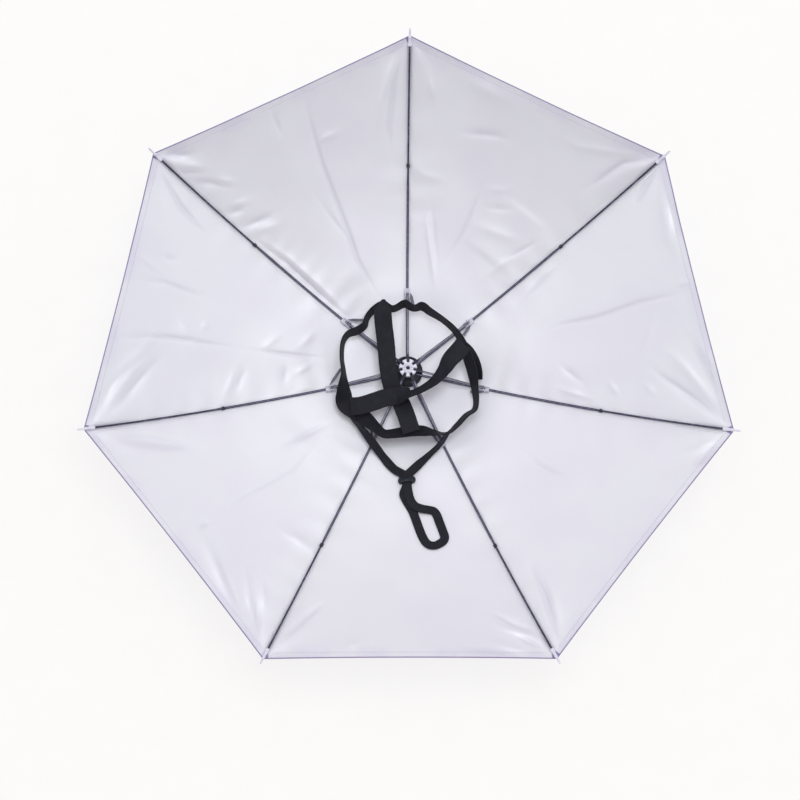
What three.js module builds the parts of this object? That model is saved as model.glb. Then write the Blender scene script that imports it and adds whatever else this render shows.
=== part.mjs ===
import * as THREE from 'three';

// An umbrella hat lying on its crown with its silver lining up. Millimetres, +Z up.
// The origin is the middle of the crown cap's flat face, and rib 1 points along +Y.

// Sizes of the canopy
const panelCount = 7;
const canopyRadius = 353.9;
const canopyRise = 125;
const canopyWall = 1;
const seamGap = 0.4;
const hemDip = 1.4;
const hemDipSharpness = 6;
const cornerFoldDepth = 2.2;
const cornerFoldStart = 27;
const cornerFoldReach = 80;
const creaseSpread = 26;
const creaseFade = 0.12;

// Sizes of the frame
const clearance = 0.3;
const capRadius = 14;
const capThickness = 4;
const capEdge = 1.4;
const shaftRadius = 4;
const shaftBoreRadius = 2.3;
const hubRadius = 17.5;
const hubThickness = 8;
const hubNotchDepth = 8;
const runnerRadius = 10;
const runnerThickness = 8;
const runnerNotchDepth = 3.6;
const runnerHeight = 41;
const ribRadius = 1.5;
const grooveShare = 1.16;
const tipRadius = 2.4;
const tipLength = 22;
const tipOverhang = 10;
const tipBoreDepth = 8.5;
const tipBoreClearance = 0.48;
const jointStandOff = 15;
const jointLength = 12;
const jointWall = 1.1;
const jointLegHeight = 2.8;
const jointForkHeight = 3.5;
const jointClearance = 0.45;
const stretcherWidth = 2.6;
const stretcherDepth = 2.2;
const stretcherWall = 0.7;
const stretcherHeadGap = 1;

// Sizes of the webbing
const bandRadius = 75;
const bandWidth = 20;
const webbingThickness = 1.2;
const tieWidth = 5;
const tailWidth = 10;
const chinWidth = 10;
const lockLength = 20;
const lockHeight = 8;
const lockWaist = 6.6;
const lockDepth = 7;
const lockTurn = 5;
const lockSeat = 0.45;
const slotClearance = 0.6;

// How finely curves are cut into flats
const roundSides = 12;
const ribSides = 8;
const ribSteps = 14;
const arcSegments = 4;
const panelColumns = 12;
const panelRows = 12;
const strapSteps = 3;
const bandSteps = 2;
const tieSteps = 4;

const halfPanel = Math.PI / panelCount;
const panelPitch = 2 * halfPanel;
const jointRadius = bandRadius + jointStandOff;
const domeRadius = (canopyRadius ** 2 + canopyRise ** 2) / (2 * canopyRise);
const domeAngle = Math.asin(canopyRadius / domeRadius);
const canopyFloor = capThickness + clearance;
const canopyEye = (shaftRadius + clearance) / Math.cos(halfPanel) + seamGap;
const facetRise = (canopyRadius / panelRows) ** 2 / (8 * domeRadius);

// Head band, clockwise in plan. turn: degrees. reach: share of bandRadius.
// stand: degrees from lying flat to standing on edge. rise: share of bandWidth.
const bandRows = [
  { turn: 111, reach: 1.03, stand: 66, rise: 0 },
  { turn: 103.5, reach: 0.93, stand: 76, rise: 0 },
  { turn: 92.5, reach: 0.985, stand: 70, rise: 0 },
  { turn: 84.5, reach: 0.92, stand: 76, rise: 0 },
  { turn: 77.5, reach: 0.97, stand: 69, rise: 0 },
  { turn: 69, reach: 0.925, stand: 70, rise: 0 },
  { turn: 54, reach: 0.905, stand: 77, rise: 0 },
  { turn: 38, reach: 0.91, stand: 73, rise: 0 },
  { turn: 24, reach: 0.905, stand: 70, rise: 0 },
  { turn: 9.5, reach: 0.915, stand: 70, rise: 0 },
  { turn: -5, reach: 0.975, stand: 75, rise: 0 },
  { turn: -17, reach: 1.05, stand: 77, rise: 0 },
  { turn: -26.5, reach: 1.14, stand: 74, rise: 0 },
  { turn: -31.5, reach: 1.165, stand: 72, rise: 0 },
  { turn: -38, reach: 1.115, stand: 70, rise: 0 },
  { turn: -48, reach: 1.115, stand: 70, rise: 0 },
  { turn: -58.5, reach: 1.13, stand: 77, rise: 0 },
  { turn: -67, reach: 1.04, stand: 68, rise: 0 },
  { turn: -76, reach: 0.96, stand: 54, rise: 0 },
  { turn: -87, reach: 0.935, stand: 52, rise: 0 },
  { turn: -99, reach: 0.975, stand: 56, rise: 0 },
  { turn: -110, reach: 1.035, stand: 60, rise: 0 },
  { turn: -119, reach: 1, stand: 62, rise: 0 },
  { turn: -130, reach: 0.98, stand: 52, rise: 0.02 },
  { turn: -140, reach: 1, stand: 28, rise: 0.05 },
  { turn: -151, reach: 1.065, stand: 22, rise: 0.05 },
  { turn: -162, reach: 1.01, stand: 54, rise: 0.02 },
  { turn: -176.5, reach: 0.96, stand: 73, rise: 0 },
  { turn: -189.5, reach: 1, stand: 75, rise: 0 },
  { turn: -203, reach: 1.05, stand: 75, rise: 0 },
  { turn: -210, reach: 1.035, stand: 73, rise: 0 },
  { turn: -217, reach: 0.95, stand: 69, rise: 0 },
  { turn: -225.5, reach: 0.92, stand: 71, rise: 0 },
  { turn: -232, reach: 0.985, stand: 73, rise: 0 },
  { turn: -241, reach: 1.03, stand: 71, rise: 0 },
];

// Crown straps. x and y: shares of bandRadius. rise: share of bandWidth.
// deck: 1 where the strap lies over another one.
const strapRowsA = [
  { x: -0.37, y: 0.97, stand: 0, rise: 1.1, deck: 0 },
  { x: -0.375, y: 0.83, stand: 0, rise: 1, deck: 0 },
  { x: -0.36, y: 0.62, stand: 0, rise: 0.62, deck: 0 },
  { x: -0.325, y: 0.34, stand: 0, rise: 0.22, deck: 0 },
  { x: -0.295, y: 0, stand: 0, rise: 0.04, deck: 0 },
  { x: -0.235, y: -0.28, stand: 0, rise: 0.03, deck: 0 },
  { x: -0.16, y: -0.41, stand: 0, rise: 0.05, deck: 0 },
  { x: -0.085, y: -0.56, stand: 0, rise: 0.3, deck: 0 },
  { x: -0.01, y: -0.77, stand: 0, rise: 0.76, deck: 0 },
  { x: 0.05, y: -0.96, stand: 0, rise: 1, deck: 0 },
];
const strapRowsB = [
  { x: 0.83, y: 0.35, stand: 0, rise: 1.08, deck: 0 },
  { x: 0.75, y: 0.25, stand: 4, rise: 0.98, deck: 0 },
  { x: 0.625, y: 0.115, stand: 26, rise: 0.6, deck: 0 },
  { x: 0.535, y: -0.035, stand: 54, rise: 0.3, deck: 0 },
  { x: 0.41, y: -0.185, stand: 64, rise: 0.12, deck: 0 },
  { x: 0.255, y: -0.3, stand: 62, rise: 0.08, deck: 0 },
  { x: 0.075, y: -0.385, stand: 42, rise: 0.1, deck: 1 },
  { x: -0.15, y: -0.42, stand: 6, rise: 0.16, deck: 1 },
  { x: -0.34, y: -0.45, stand: 0, rise: 0.34, deck: 1 },
  { x: -0.49, y: -0.5, stand: 0, rise: 0.48, deck: 1 },
  { x: -0.7, y: -0.565, stand: 0, rise: 0.68, deck: 1 },
  { x: -0.85, y: -0.575, stand: 0, rise: 0.68, deck: 1 },
];

// Chin strap, from the left of the band round the end loop and back to the right.
// x and y: shares of bandRadius. lift: 1 at the height of the cord lock's slot.
const chinRows = [
  { x: -0.785, y: -0.805, stand: 62, lift: 1, deck: 0 },
  { x: -0.62, y: -0.965, stand: 38, lift: 1, deck: 0 },
  { x: -0.49, y: -1.125, stand: 16, lift: 1, deck: 0 },
  { x: -0.385, y: -1.285, stand: 4, lift: 0.9, deck: 0 },
  { x: -0.24, y: -1.45, stand: 0, lift: 0.8, deck: 0 },
  { x: -0.08, y: -1.55, stand: 0, lift: 0.95, deck: 0 },
  { x: -0.02, y: -1.6, stand: 0, lift: 1, deck: 0 },
  { x: -0.013, y: -1.66, stand: 0, lift: 1, deck: 0 },
  { x: -0.008, y: -1.72, stand: 0, lift: 1, deck: 0 },
  { x: -0.035, y: -1.79, stand: 0, lift: 0.9, deck: 0 },
  { x: -0.06, y: -1.87, stand: 0, lift: 0.7, deck: 0 },
  { x: -0.01, y: -1.98, stand: 0, lift: 0.3, deck: 0 },
  { x: 0.065, y: -2.12, stand: 0, lift: 0.1, deck: 0 },
  { x: 0.12, y: -2.28, stand: 0, lift: 0.1, deck: 0 },
  { x: 0.195, y: -2.47, stand: 0, lift: 0.1, deck: 0 },
  { x: 0.29, y: -2.605, stand: 0, lift: 0.15, deck: 0 },
  { x: 0.405, y: -2.645, stand: 0, lift: 0.15, deck: 0 },
  { x: 0.505, y: -2.585, stand: 0, lift: 0.15, deck: 0 },
  { x: 0.53, y: -2.47, stand: 0, lift: 0.15, deck: 0 },
  { x: 0.485, y: -2.33, stand: 0, lift: 0.15, deck: 0 },
  { x: 0.435, y: -2.195, stand: 0, lift: 0.15, deck: 0 },
  { x: 0.365, y: -2.13, stand: 0, lift: 0.2, deck: 0 },
  { x: 0.22, y: -2.095, stand: 0, lift: 0.2, deck: 1 },
  { x: 0.095, y: -2.04, stand: 0, lift: 0.3, deck: 1 },
  { x: 0.02, y: -1.94, stand: 0, lift: 0.5, deck: 1 },
  { x: 0, y: -1.83, stand: 0, lift: 0.8, deck: 1 },
  { x: -0.008, y: -1.72, stand: 0, lift: 1, deck: 1 },
  { x: -0.013, y: -1.66, stand: 0, lift: 1, deck: 1 },
  { x: -0.02, y: -1.6, stand: 0, lift: 1, deck: 1 },
  { x: 0.03, y: -1.515, stand: 6, lift: 0.95, deck: 1 },
  { x: 0.175, y: -1.395, stand: 26, lift: 0.85, deck: 0 },
  { x: 0.335, y: -1.275, stand: 32, lift: 0.9, deck: 0 },
  { x: 0.47, y: -1.17, stand: 34, lift: 1, deck: 0 },
  { x: 0.565, y: -1.06, stand: 50, lift: 1, deck: 0 },
  { x: 0.615, y: -1.01, stand: 62, lift: 1, deck: 0 },
];

// Joint ties, one for each rib joint. shift: degrees clockwise to where it meets the band.
const tieRows = [
  { shift: 5 },
  { shift: 6 },
  { shift: 6 },
  { shift: 5 },
  { shift: 6 },
  { shift: 14 },
  { shift: 11 },
];

// Outside of a rib tip. radius: share of tipRadius. along: share of tipLength.
const tipRows = [
  { radius: 1, along: 0 },
  { radius: 1, along: 0.12 },
  { radius: 0.9, along: 0.3 },
  { radius: 0.74, along: 0.75 },
  { radius: 0.5, along: 0.97 },
  { radius: 0, along: 1 },
];

// Loose end of strap B, hanging outside the band. x and y: shares of bandRadius.
const tailRows = [
  { x: 0.915, y: 0.295, stand: 20, rise: 0.22, deck: 0 },
  { x: 0.98, y: 0.2, stand: 24, rise: 0.2, deck: 0 },
  { x: 1.035, y: 0.08, stand: 30, rise: 0.12, deck: 0 },
  { x: 1.065, y: -0.05, stand: 36, rise: 0.06, deck: 0 },
  { x: 1.065, y: -0.15, stand: 40, rise: 0.05, deck: 0 },
];

// Creases in the panels. d: share of canopyRadius from the middle along the panel.
// t: share of canopyRadius across it. depth: share of cornerFoldDepth.
const creaseRows = [
  { panel: 0, d0: 0.42, t0: 0.08, d1: 0.62, t1: 0.12, depth: 0.5 },
  { panel: 1, d0: 0.3, t0: 0.05, d1: 0.86, t1: 0.2, depth: 0.6 },
  { panel: 4, d0: 0.36, t0: 0.06, d1: 0.86, t1: -0.1, depth: 0.6 },
  { panel: 5, d0: 0.3, t0: -0.05, d1: 0.88, t1: -0.12, depth: 0.6 },
  { panel: 6, d0: 0.3, t0: -0.02, d1: 0.86, t1: -0.06, depth: 0.7 },
];

function smoothStep(low, high, value) {
  const share = Math.min(Math.max((value - low) / (high - low), 0), 1);
  return share * share * (3 - 2 * share);
}

// Height of the cloth's outer face under a rib, at a distance from the middle
function domeHeight(reach) {
  return canopyFloor + domeRadius - Math.sqrt(domeRadius ** 2 - reach ** 2);
}

// Lean of a panel's cloth from level, where its ribs are at a distance from the middle
function panelLean(reach) {
  const slope = Math.asin(reach / domeRadius);
  return Math.atan(Math.tan(slope) / Math.cos(halfPanel));
}

// Folds that fan out of a panel's two outer corners, and its creases
function foldHeight(panel, d, t) {
  const cornerD = canopyRadius * Math.cos(halfPanel);
  const cornerT = canopyRadius * Math.sin(halfPanel);
  const away = Math.hypot(cornerD - d, cornerT - Math.abs(t));
  const along = Math.atan2(cornerT - Math.abs(t), cornerD - d);
  const fanShare = (along - halfPanel) / (Math.PI / 2 - halfPanel);
  const nearCorner = Math.exp(-((away / cornerFoldReach) ** 2)) * smoothStep(0, cornerFoldStart, away);
  const waves = Math.sin(2 * Math.PI * Math.min(Math.max(fanShare, 0), 1));
  let height = cornerFoldDepth * nearCorner * waves;
  for (const row of creaseRows.filter((crease) => crease.panel === panel)) {
    const start = new THREE.Vector2(row.d0, row.t0).multiplyScalar(canopyRadius);
    const run = new THREE.Vector2(row.d1, row.t1).multiplyScalar(canopyRadius).sub(start);
    const point = new THREE.Vector2(d, t).sub(start);
    const share = Math.min(Math.max(point.dot(run) / run.lengthSq(), 0), 1);
    const gap = point.distanceTo(run.clone().multiplyScalar(share));
    const fade = smoothStep(0, creaseFade, share) * smoothStep(0, creaseFade, 1 - share);
    height += row.depth * cornerFoldDepth * fade * Math.exp(-((gap / creaseSpread) ** 2));
  }
  return height;
}

// Closed body between two faces given as functions of two shares from 0 to 1
function sheetBody(columns, rows, lowerFace, upperFace) {
  const points = [];
  const triangles = [];
  const stride = columns + 1;
  const layer = stride * (rows + 1);
  for (const face of [lowerFace, upperFace]) {
    for (let row = 0; row <= rows; row += 1) {
      for (let column = 0; column <= columns; column += 1) {
        points.push(...face(column / columns, row / rows).toArray());
      }
    }
  }
  const quad = (a, b, c, d) => triangles.push(a, b, c, a, c, d);
  for (let row = 0; row < rows; row += 1) {
    for (let column = 0; column < columns; column += 1) {
      const a = row * stride + column;
      quad(a, a + 1, a + stride + 1, a + stride);
      quad(layer + a, layer + a + stride, layer + a + stride + 1, layer + a + 1);
    }
  }
  for (let column = 0; column < columns; column += 1) {
    const far = rows * stride + column;
    quad(column, layer + column, layer + column + 1, column + 1);
    quad(far, far + 1, layer + far + 1, layer + far);
  }
  for (let row = 0; row < rows; row += 1) {
    const left = row * stride;
    const right = left + columns;
    quad(left, left + stride, layer + left + stride, layer + left);
    quad(right, layer + right, layer + right + stride, right + stride);
  }
  const geometry = new THREE.BufferGeometry();
  geometry.setAttribute('position', new THREE.Float32BufferAttribute(points, 3));
  geometry.setIndex(triangles);
  return geometry;
}

// One panel of cloth, straight across between its two ribs, in a frame along its middle
function panelGeometry(panel) {
  const place = (across, out, offset) => {
    const side = 2 * across - 1;
    const reach = canopyEye + (canopyRadius - canopyEye) * out;
    const dip = hemDip * (1 - side * side) * out ** hemDipSharpness;
    const lean = panelLean(reach);
    const inward = offset * Math.sin(lean);
    const seam = reach * Math.cos(halfPanel) - inward;
    const d = seam - dip;
    const t = side * (seam * Math.tan(halfPanel) - seamGap / 2 / Math.cos(halfPanel));
    const z = domeHeight((seam + inward - dip) / Math.cos(halfPanel)) + foldHeight(panel, d, t);
    return new THREE.Vector3(d, -t, z + offset * Math.cos(lean));
  };
  const outside = (across, out) => place(across, out, 0);
  const lining = (across, out) => place(across, out, canopyWall);
  return sheetBody(panelColumns, panelRows, lining, outside);
}

// Height of a rib's middle above the cloth. The groove between two panels narrows
// outwards, so the tip's rounder end lies a little higher in it.
const ribLiftAtCrown = canopyWall + facetRise + clearance + ribRadius;
const ribLiftAtTip = (canopyWall + clearance + tipRadius) * grooveShare;

// Middle line of a rib, as an angle round the dome's middle
function ribPoint(angle) {
  const lift = THREE.MathUtils.lerp(ribLiftAtCrown, ribLiftAtTip, angle / domeAngle);
  const radius = domeRadius - lift;
  const height = canopyFloor + domeRadius - radius * Math.cos(angle);
  return new THREE.Vector3(radius * Math.sin(angle), 0, height);
}

class RibCurve extends THREE.Curve {
  constructor(startAngle, endAngle) {
    super();
    this.startAngle = startAngle;
    this.endAngle = endAngle;
  }

  getPoint(share, target = new THREE.Vector3()) {
    return target.copy(ribPoint(THREE.MathUtils.lerp(this.startAngle, this.endAngle, share)));
  }
}

function roundCorners(radius, sides) {
  const corners = [];
  for (let index = 0; index < sides; index += 1) {
    const turn = (2 * Math.PI * index) / sides;
    corners.push(new THREE.Vector2(radius * Math.cos(turn), radius * Math.sin(turn)));
  }
  return corners;
}

const notchFloorRadius = hubRadius - hubNotchDepth;
const hubFloor = domeHeight(hubRadius / Math.cos(halfPanel)) + canopyWall + facetRise + clearance;
const tipMouthAngle = domeAngle - (tipLength - tipOverhang) / domeRadius;
const ribStartAngle = (notchFloorRadius + clearance) / domeRadius;
const ribEndAngle = tipMouthAngle + (tipBoreDepth - clearance) / domeRadius;

function ribGeometry() {
  return new THREE.ExtrudeGeometry(new THREE.Shape(roundCorners(ribRadius, ribSides)), {
    steps: ribSteps,
    bevelEnabled: false,
    extrudePath: new RibCurve(ribStartAngle, ribEndAngle),
  });
}

// Moulded tip, turned about its own length, with a blind bore for the rib
function tipGeometry() {
  const boreRadius = ribRadius + tipBoreClearance;
  const profile = [
    new THREE.Vector2(0, tipBoreDepth),
    new THREE.Vector2(boreRadius, tipBoreDepth),
    new THREE.Vector2(boreRadius, 0),
  ];
  for (const { radius, along } of tipRows) {
    profile.push(new THREE.Vector2(tipRadius * radius, tipLength * along));
  }
  const geometry = new THREE.LatheGeometry(profile, roundSides);
  const mouth = ribPoint(tipMouthAngle);
  geometry.rotateZ(-Math.PI / 2);
  geometry.rotateY(-tipMouthAngle);
  geometry.translate(mouth.x, mouth.y, mouth.z);
  return geometry;
}

const jointAngle = jointRadius / domeRadius;
const jointWebFloor = ribRadius + jointClearance;
const jointWebTop = jointWebFloor + jointWall;
const jointInnerHalf = ribRadius + jointClearance;
const jointOuterHalf = jointInnerHalf + jointWall;
const jointTop = jointWebTop + jointForkHeight;

// Clip of an H section: legs astride the rib below, and a fork for the stretcher above
function jointGeometry() {
  const low = jointWebFloor - jointLegHeight;
  const high = jointTop;
  const outline = new THREE.Shape([
    new THREE.Vector2(-jointOuterHalf, low),
    new THREE.Vector2(-jointInnerHalf, low),
    new THREE.Vector2(-jointInnerHalf, jointWebFloor),
    new THREE.Vector2(jointInnerHalf, jointWebFloor),
    new THREE.Vector2(jointInnerHalf, low),
    new THREE.Vector2(jointOuterHalf, low),
    new THREE.Vector2(jointOuterHalf, high),
    new THREE.Vector2(jointInnerHalf, high),
    new THREE.Vector2(jointInnerHalf, jointWebTop),
    new THREE.Vector2(-jointInnerHalf, jointWebTop),
    new THREE.Vector2(-jointInnerHalf, high),
    new THREE.Vector2(-jointOuterHalf, high),
  ]);
  const geometry = new THREE.ExtrudeGeometry(outline, { depth: jointLength, bevelEnabled: false });
  geometry.translate(0, 0, -jointLength / 2);
  geometry.rotateX(Math.PI / 2);
  geometry.rotateZ(Math.PI / 2);
  geometry.rotateY(-jointAngle);
  const seat = ribPoint(jointAngle);
  geometry.translate(seat.x, seat.y, seat.z);
  return geometry;
}

// Ends of a stretcher in its rib's plane, from the clip's fork to the runner's notch
const stretcherFoot = ribPoint(jointAngle).add(
  new THREE.Vector3(-Math.sin(jointAngle), 0, Math.cos(jointAngle)).multiplyScalar(
    jointWebTop + clearance + stretcherDepth / 2,
  ),
);
const stretcherHeadReach = runnerRadius - runnerNotchDepth + stretcherHeadGap;
const stretcherHead = new THREE.Vector3(stretcherHeadReach, 0, runnerHeight);
const stretcherRun = stretcherFoot.clone().sub(stretcherHead);
const stretcherLength = stretcherRun.length();
const stretcherFall = Math.atan2(-stretcherRun.z, stretcherRun.x);

// Pressed channel, open upwards
function stretcherGeometry() {
  const half = stretcherWidth / 2;
  const low = -stretcherDepth / 2;
  const high = stretcherDepth / 2;
  const channel = new THREE.Shape([
    new THREE.Vector2(-half, low),
    new THREE.Vector2(half, low),
    new THREE.Vector2(half, high),
    new THREE.Vector2(half - stretcherWall, high),
    new THREE.Vector2(half - stretcherWall, low + stretcherWall),
    new THREE.Vector2(stretcherWall - half, low + stretcherWall),
    new THREE.Vector2(stretcherWall - half, high),
    new THREE.Vector2(-half, high),
  ]);
  const geometry = new THREE.ExtrudeGeometry(channel, { depth: stretcherLength, bevelEnabled: false });
  geometry.rotateX(Math.PI / 2);
  geometry.rotateZ(Math.PI / 2);
  geometry.rotateY(stretcherFall);
  geometry.translate(stretcherHead.x, stretcherHead.y, stretcherHead.z);
  return geometry;
}

// Disc with one notch for each rib, cut in from its rim, and a bore for the shaft
function notchedDisc(radius, notchDepth, notchWidth, thickness) {
  const outline = new THREE.Shape();
  const floor = radius - notchDepth;
  const rimHalf = Math.asin(notchWidth / 2 / radius);
  const floorHalf = Math.asin(notchWidth / 2 / floor);
  for (let index = 0; index < panelCount; index += 1) {
    const turn = Math.PI / 2 - index * panelPitch;
    const corner = (reach, half) => new THREE.Vector2(
      reach * Math.cos(turn + half),
      reach * Math.sin(turn + half),
    );
    if (index === 0) {
      outline.moveTo(...corner(radius, rimHalf).toArray());
    }
    outline.lineTo(...corner(floor, floorHalf).toArray());
    outline.lineTo(...corner(floor, -floorHalf).toArray());
    outline.lineTo(...corner(radius, -rimHalf).toArray());
    outline.absarc(0, 0, radius, turn - rimHalf, turn - panelPitch + rimHalf, true);
  }
  outline.holes.push(new THREE.Path(roundCorners(shaftRadius + clearance, roundSides)));
  return new THREE.ExtrudeGeometry(outline, {
    depth: thickness,
    bevelEnabled: false,
    curveSegments: arcSegments,
  });
}

function capGeometry() {
  const profile = [
    new THREE.Vector2(0, 0),
    new THREE.Vector2(capRadius - capEdge, 0),
    new THREE.Vector2(capRadius, capEdge),
    new THREE.Vector2(capRadius, capThickness - capEdge),
    new THREE.Vector2(capRadius - capEdge, capThickness),
    new THREE.Vector2(0, capThickness),
  ];
  const geometry = new THREE.LatheGeometry(profile, 2 * roundSides);
  geometry.rotateX(Math.PI / 2);
  return geometry;
}

function shaftGeometry() {
  const top = runnerHeight + runnerThickness / 2;
  const profile = [
    new THREE.Vector2(shaftBoreRadius, canopyFloor),
    new THREE.Vector2(shaftRadius, canopyFloor),
    new THREE.Vector2(shaftRadius, top),
    new THREE.Vector2(shaftBoreRadius, top),
    new THREE.Vector2(shaftBoreRadius, canopyFloor),
  ];
  const geometry = new THREE.LatheGeometry(profile, roundSides);
  geometry.rotateX(Math.PI / 2);
  return geometry;
}

const coneOuterReach = jointRadius + jointLength / 2;
const jointTopHeight = ribPoint(jointAngle).z
  + jointTop * Math.cos(jointAngle)
  + (jointLength / 2) * Math.sin(jointAngle);

// Top of the stretchers, taken as a cone, at a distance from the middle
function stretcherTop(reach) {
  const slope = Math.tan(stretcherFall);
  const middle = stretcherHead.z - (Math.min(reach, jointRadius) - stretcherHead.x) * slope;
  return middle + stretcherDepth / 2 / Math.cos(stretcherFall);
}

// Top of the lining at a place in plan
function liningTop(x, y) {
  const fromFirst = Math.atan2(y, x) - (Math.PI / 2 - halfPanel);
  const offset = fromFirst - panelPitch * Math.round(fromFirst / panelPitch);
  const d = Math.hypot(x, y) * Math.cos(offset);
  const reach = d / Math.cos(halfPanel);
  const lean = panelLean(reach);
  return domeHeight(reach) + canopyWall / Math.cos(lean) + facetRise / Math.cos(lean) ** 3;
}

// What a strap rests on: the stretchers and joints near the middle, the lining further out
function restHeight(x, y) {
  const reach = Math.hypot(x, y);
  const frame = Math.max(stretcherTop(reach), jointTopHeight);
  const share = smoothStep(coneOuterReach, coneOuterReach + jointLength, reach);
  return THREE.MathUtils.lerp(frame, liningTop(x, y), share);
}

// Stations of a strap: where its middle runs and which way its width points
function strapStations(rows, count, closed, width, plan, height) {
  const kind = 'centripetal';
  const path = new THREE.CatmullRomCurve3(
    rows.map((row) => new THREE.Vector3(...plan(row), 0)),
    closed,
    kind,
  );
  const manner = new THREE.CatmullRomCurve3(
    rows.map((row) => new THREE.Vector3(row.stand, height(row), 0)),
    closed,
    kind,
  );
  const stations = [];
  const last = closed ? count - 1 : count;
  for (let index = 0; index <= last; index += 1) {
    const share = index / count;
    const middle = path.getPoint(share);
    const ahead = path.getTangent(share);
    const { x: stand, y: lift } = manner.getPoint(share);
    const across = new THREE.Vector3(-ahead.y, ahead.x, 0).normalize();
    const restBeside = (offset) => restHeight(
      middle.x + across.x * offset,
      middle.y + across.y * offset,
    );
    const slope = Math.atan((restBeside(width / 2) - restBeside(-width / 2)) / width);
    const turn = slope * (1 - Math.abs(stand) / 90) + THREE.MathUtils.degToRad(stand);
    const side = across.clone().multiplyScalar(Math.cos(turn)).setZ(Math.sin(turn));
    const reach = (width / 2) * Math.cos(turn);
    const rise = (width / 2) * Math.sin(turn);
    const support = Math.max(restBeside(reach) - rise, restBeside(-reach) + rise);
    middle.z = support + (webbingThickness / 2) / Math.cos(slope) + clearance + lift;
    stations.push({ middle, side });
  }
  return stations;
}

// Flat webbing swept through its stations
function webbingGeometry(stations, width, closed) {
  const points = [];
  const triangles = [];
  const count = stations.length;
  stations.forEach(({ middle, side }, index) => {
    const before = stations[closed ? (index + count - 1) % count : Math.max(index - 1, 0)].middle;
    const after = stations[closed ? (index + 1) % count : Math.min(index + 1, count - 1)].middle;
    const ahead = after.clone().sub(before).normalize();
    const face = new THREE.Vector3().crossVectors(ahead, side).normalize();
    const edge = new THREE.Vector3().crossVectors(face, ahead).normalize();
    for (const [across, up] of [[-1, -1], [1, -1], [1, 1], [-1, 1]]) {
      const corner = middle.clone();
      corner.addScaledVector(edge, (across * width) / 2);
      corner.addScaledVector(face, (up * webbingThickness) / 2);
      points.push(...corner.toArray());
    }
  });
  const spans = closed ? count : count - 1;
  for (let index = 0; index < spans; index += 1) {
    const here = 4 * index;
    const next = 4 * ((index + 1) % count);
    for (let corner = 0; corner < 4; corner += 1) {
      const other = (corner + 1) % 4;
      triangles.push(here + corner, here + other, next + other);
      triangles.push(here + corner, next + other, next + corner);
    }
  }
  if (!closed) {
    const end = 4 * (count - 1);
    triangles.push(0, 2, 1, 0, 3, 2);
    triangles.push(end, end + 1, end + 2, end, end + 2, end + 3);
  }
  const geometry = new THREE.BufferGeometry();
  geometry.setAttribute('position', new THREE.Float32BufferAttribute(points, 3));
  geometry.setIndex(triangles);
  return geometry;
}

const bandPlan = ({ turn, reach }) => {
  const angle = THREE.MathUtils.degToRad(turn);
  return [reach * bandRadius * Math.cos(angle), reach * bandRadius * Math.sin(angle)];
};
const strapPlan = ({ x, y }) => [x * bandRadius, y * bandRadius];
const deckStep = webbingThickness + clearance;
const strapHeight = ({ rise, deck = 0 }) => rise * bandWidth + deck * deckStep;
const slotLift = (lockHeight - webbingThickness - deckStep) / 2;
const chinHeight = ({ lift, deck }) => lift * slotLift + deck * deckStep;

function strapGeometry(rows, width) {
  const count = strapSteps * (rows.length - 1);
  const stations = strapStations(rows, count, false, width, strapPlan, strapHeight);
  return webbingGeometry(stations, width, false);
}

function bandGeometry() {
  const count = bandSteps * bandRows.length;
  const stations = strapStations(bandRows, count, true, bandWidth, bandPlan, strapHeight);
  return webbingGeometry(stations, bandWidth, true);
}

function chinGeometry() {
  const count = bandSteps * (chinRows.length - 1);
  const stations = strapStations(chinRows, count, false, chinWidth, strapPlan, chinHeight);
  return webbingGeometry(stations, chinWidth, false);
}

// Tie from a rib joint's flank to the foot of the band
function tieGeometry(index) {
  const jointTurn = Math.PI / 2 - index * panelPitch;
  const seat = ribPoint(jointAngle);
  const shift = THREE.MathUtils.degToRad(tieRows[index % tieRows.length].shift);
  const beside = jointOuterHalf + clearance + tieWidth / 2;
  const outward = new THREE.Vector3(Math.cos(jointTurn), Math.sin(jointTurn), 0);
  const clockwise = new THREE.Vector3(outward.y, -outward.x, 0);
  const bandTurn = jointTurn - shift;
  const bandFoot = stretcherTop(bandRadius) - webbingThickness;
  const foot = outward.clone().multiplyScalar(seat.x).addScaledVector(clockwise, beside);
  foot.z = seat.z + jointWebTop;
  const head = new THREE.Vector3(Math.cos(bandTurn), Math.sin(bandTurn), 0).multiplyScalar(bandRadius);
  head.z = bandFoot;
  const ahead = head.clone().sub(foot).normalize();
  const side = new THREE.Vector3(-ahead.y, ahead.x, 0).normalize();
  const stations = [];
  for (let step = 0; step <= tieSteps; step += 1) {
    stations.push({ middle: foot.clone().lerp(head, step / tieSteps), side });
  }
  return webbingGeometry(stations, tieWidth, false);
}

// Bone-shaped lock with a slot through it for both layers of the chin strap
function lockGeometry() {
  const knob = lockHeight / 2;
  const knobMiddle = lockLength / 2 - knob;
  const bend = Math.asin(lockWaist / lockHeight);
  const outline = new THREE.Shape();
  outline.absarc(knobMiddle, 0, knob, -Math.PI + bend, Math.PI - bend, false);
  outline.absarc(-knobMiddle, 0, knob, bend, 2 * Math.PI - bend, false);
  const slotHalf = chinWidth / 2 + slotClearance;
  const slotHigh = (webbingThickness + deckStep) / 2 + slotClearance;
  outline.holes.push(new THREE.Path([
    new THREE.Vector2(-slotHalf, -slotHigh),
    new THREE.Vector2(-slotHalf, slotHigh),
    new THREE.Vector2(slotHalf, slotHigh),
    new THREE.Vector2(slotHalf, -slotHigh),
  ]));
  const geometry = new THREE.ExtrudeGeometry(outline, {
    depth: lockDepth,
    bevelEnabled: false,
    curveSegments: 2 * arcSegments,
  });
  geometry.translate(0, 0, -lockDepth / 2);
  geometry.rotateX(Math.PI / 2);
  return geometry;
}

// A finish of its own for each piece
function finish(colour, roughness, metalness) {
  return new THREE.MeshStandardMaterial({ color: colour, roughness, metalness });
}

const hat = new THREE.Group();

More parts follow.
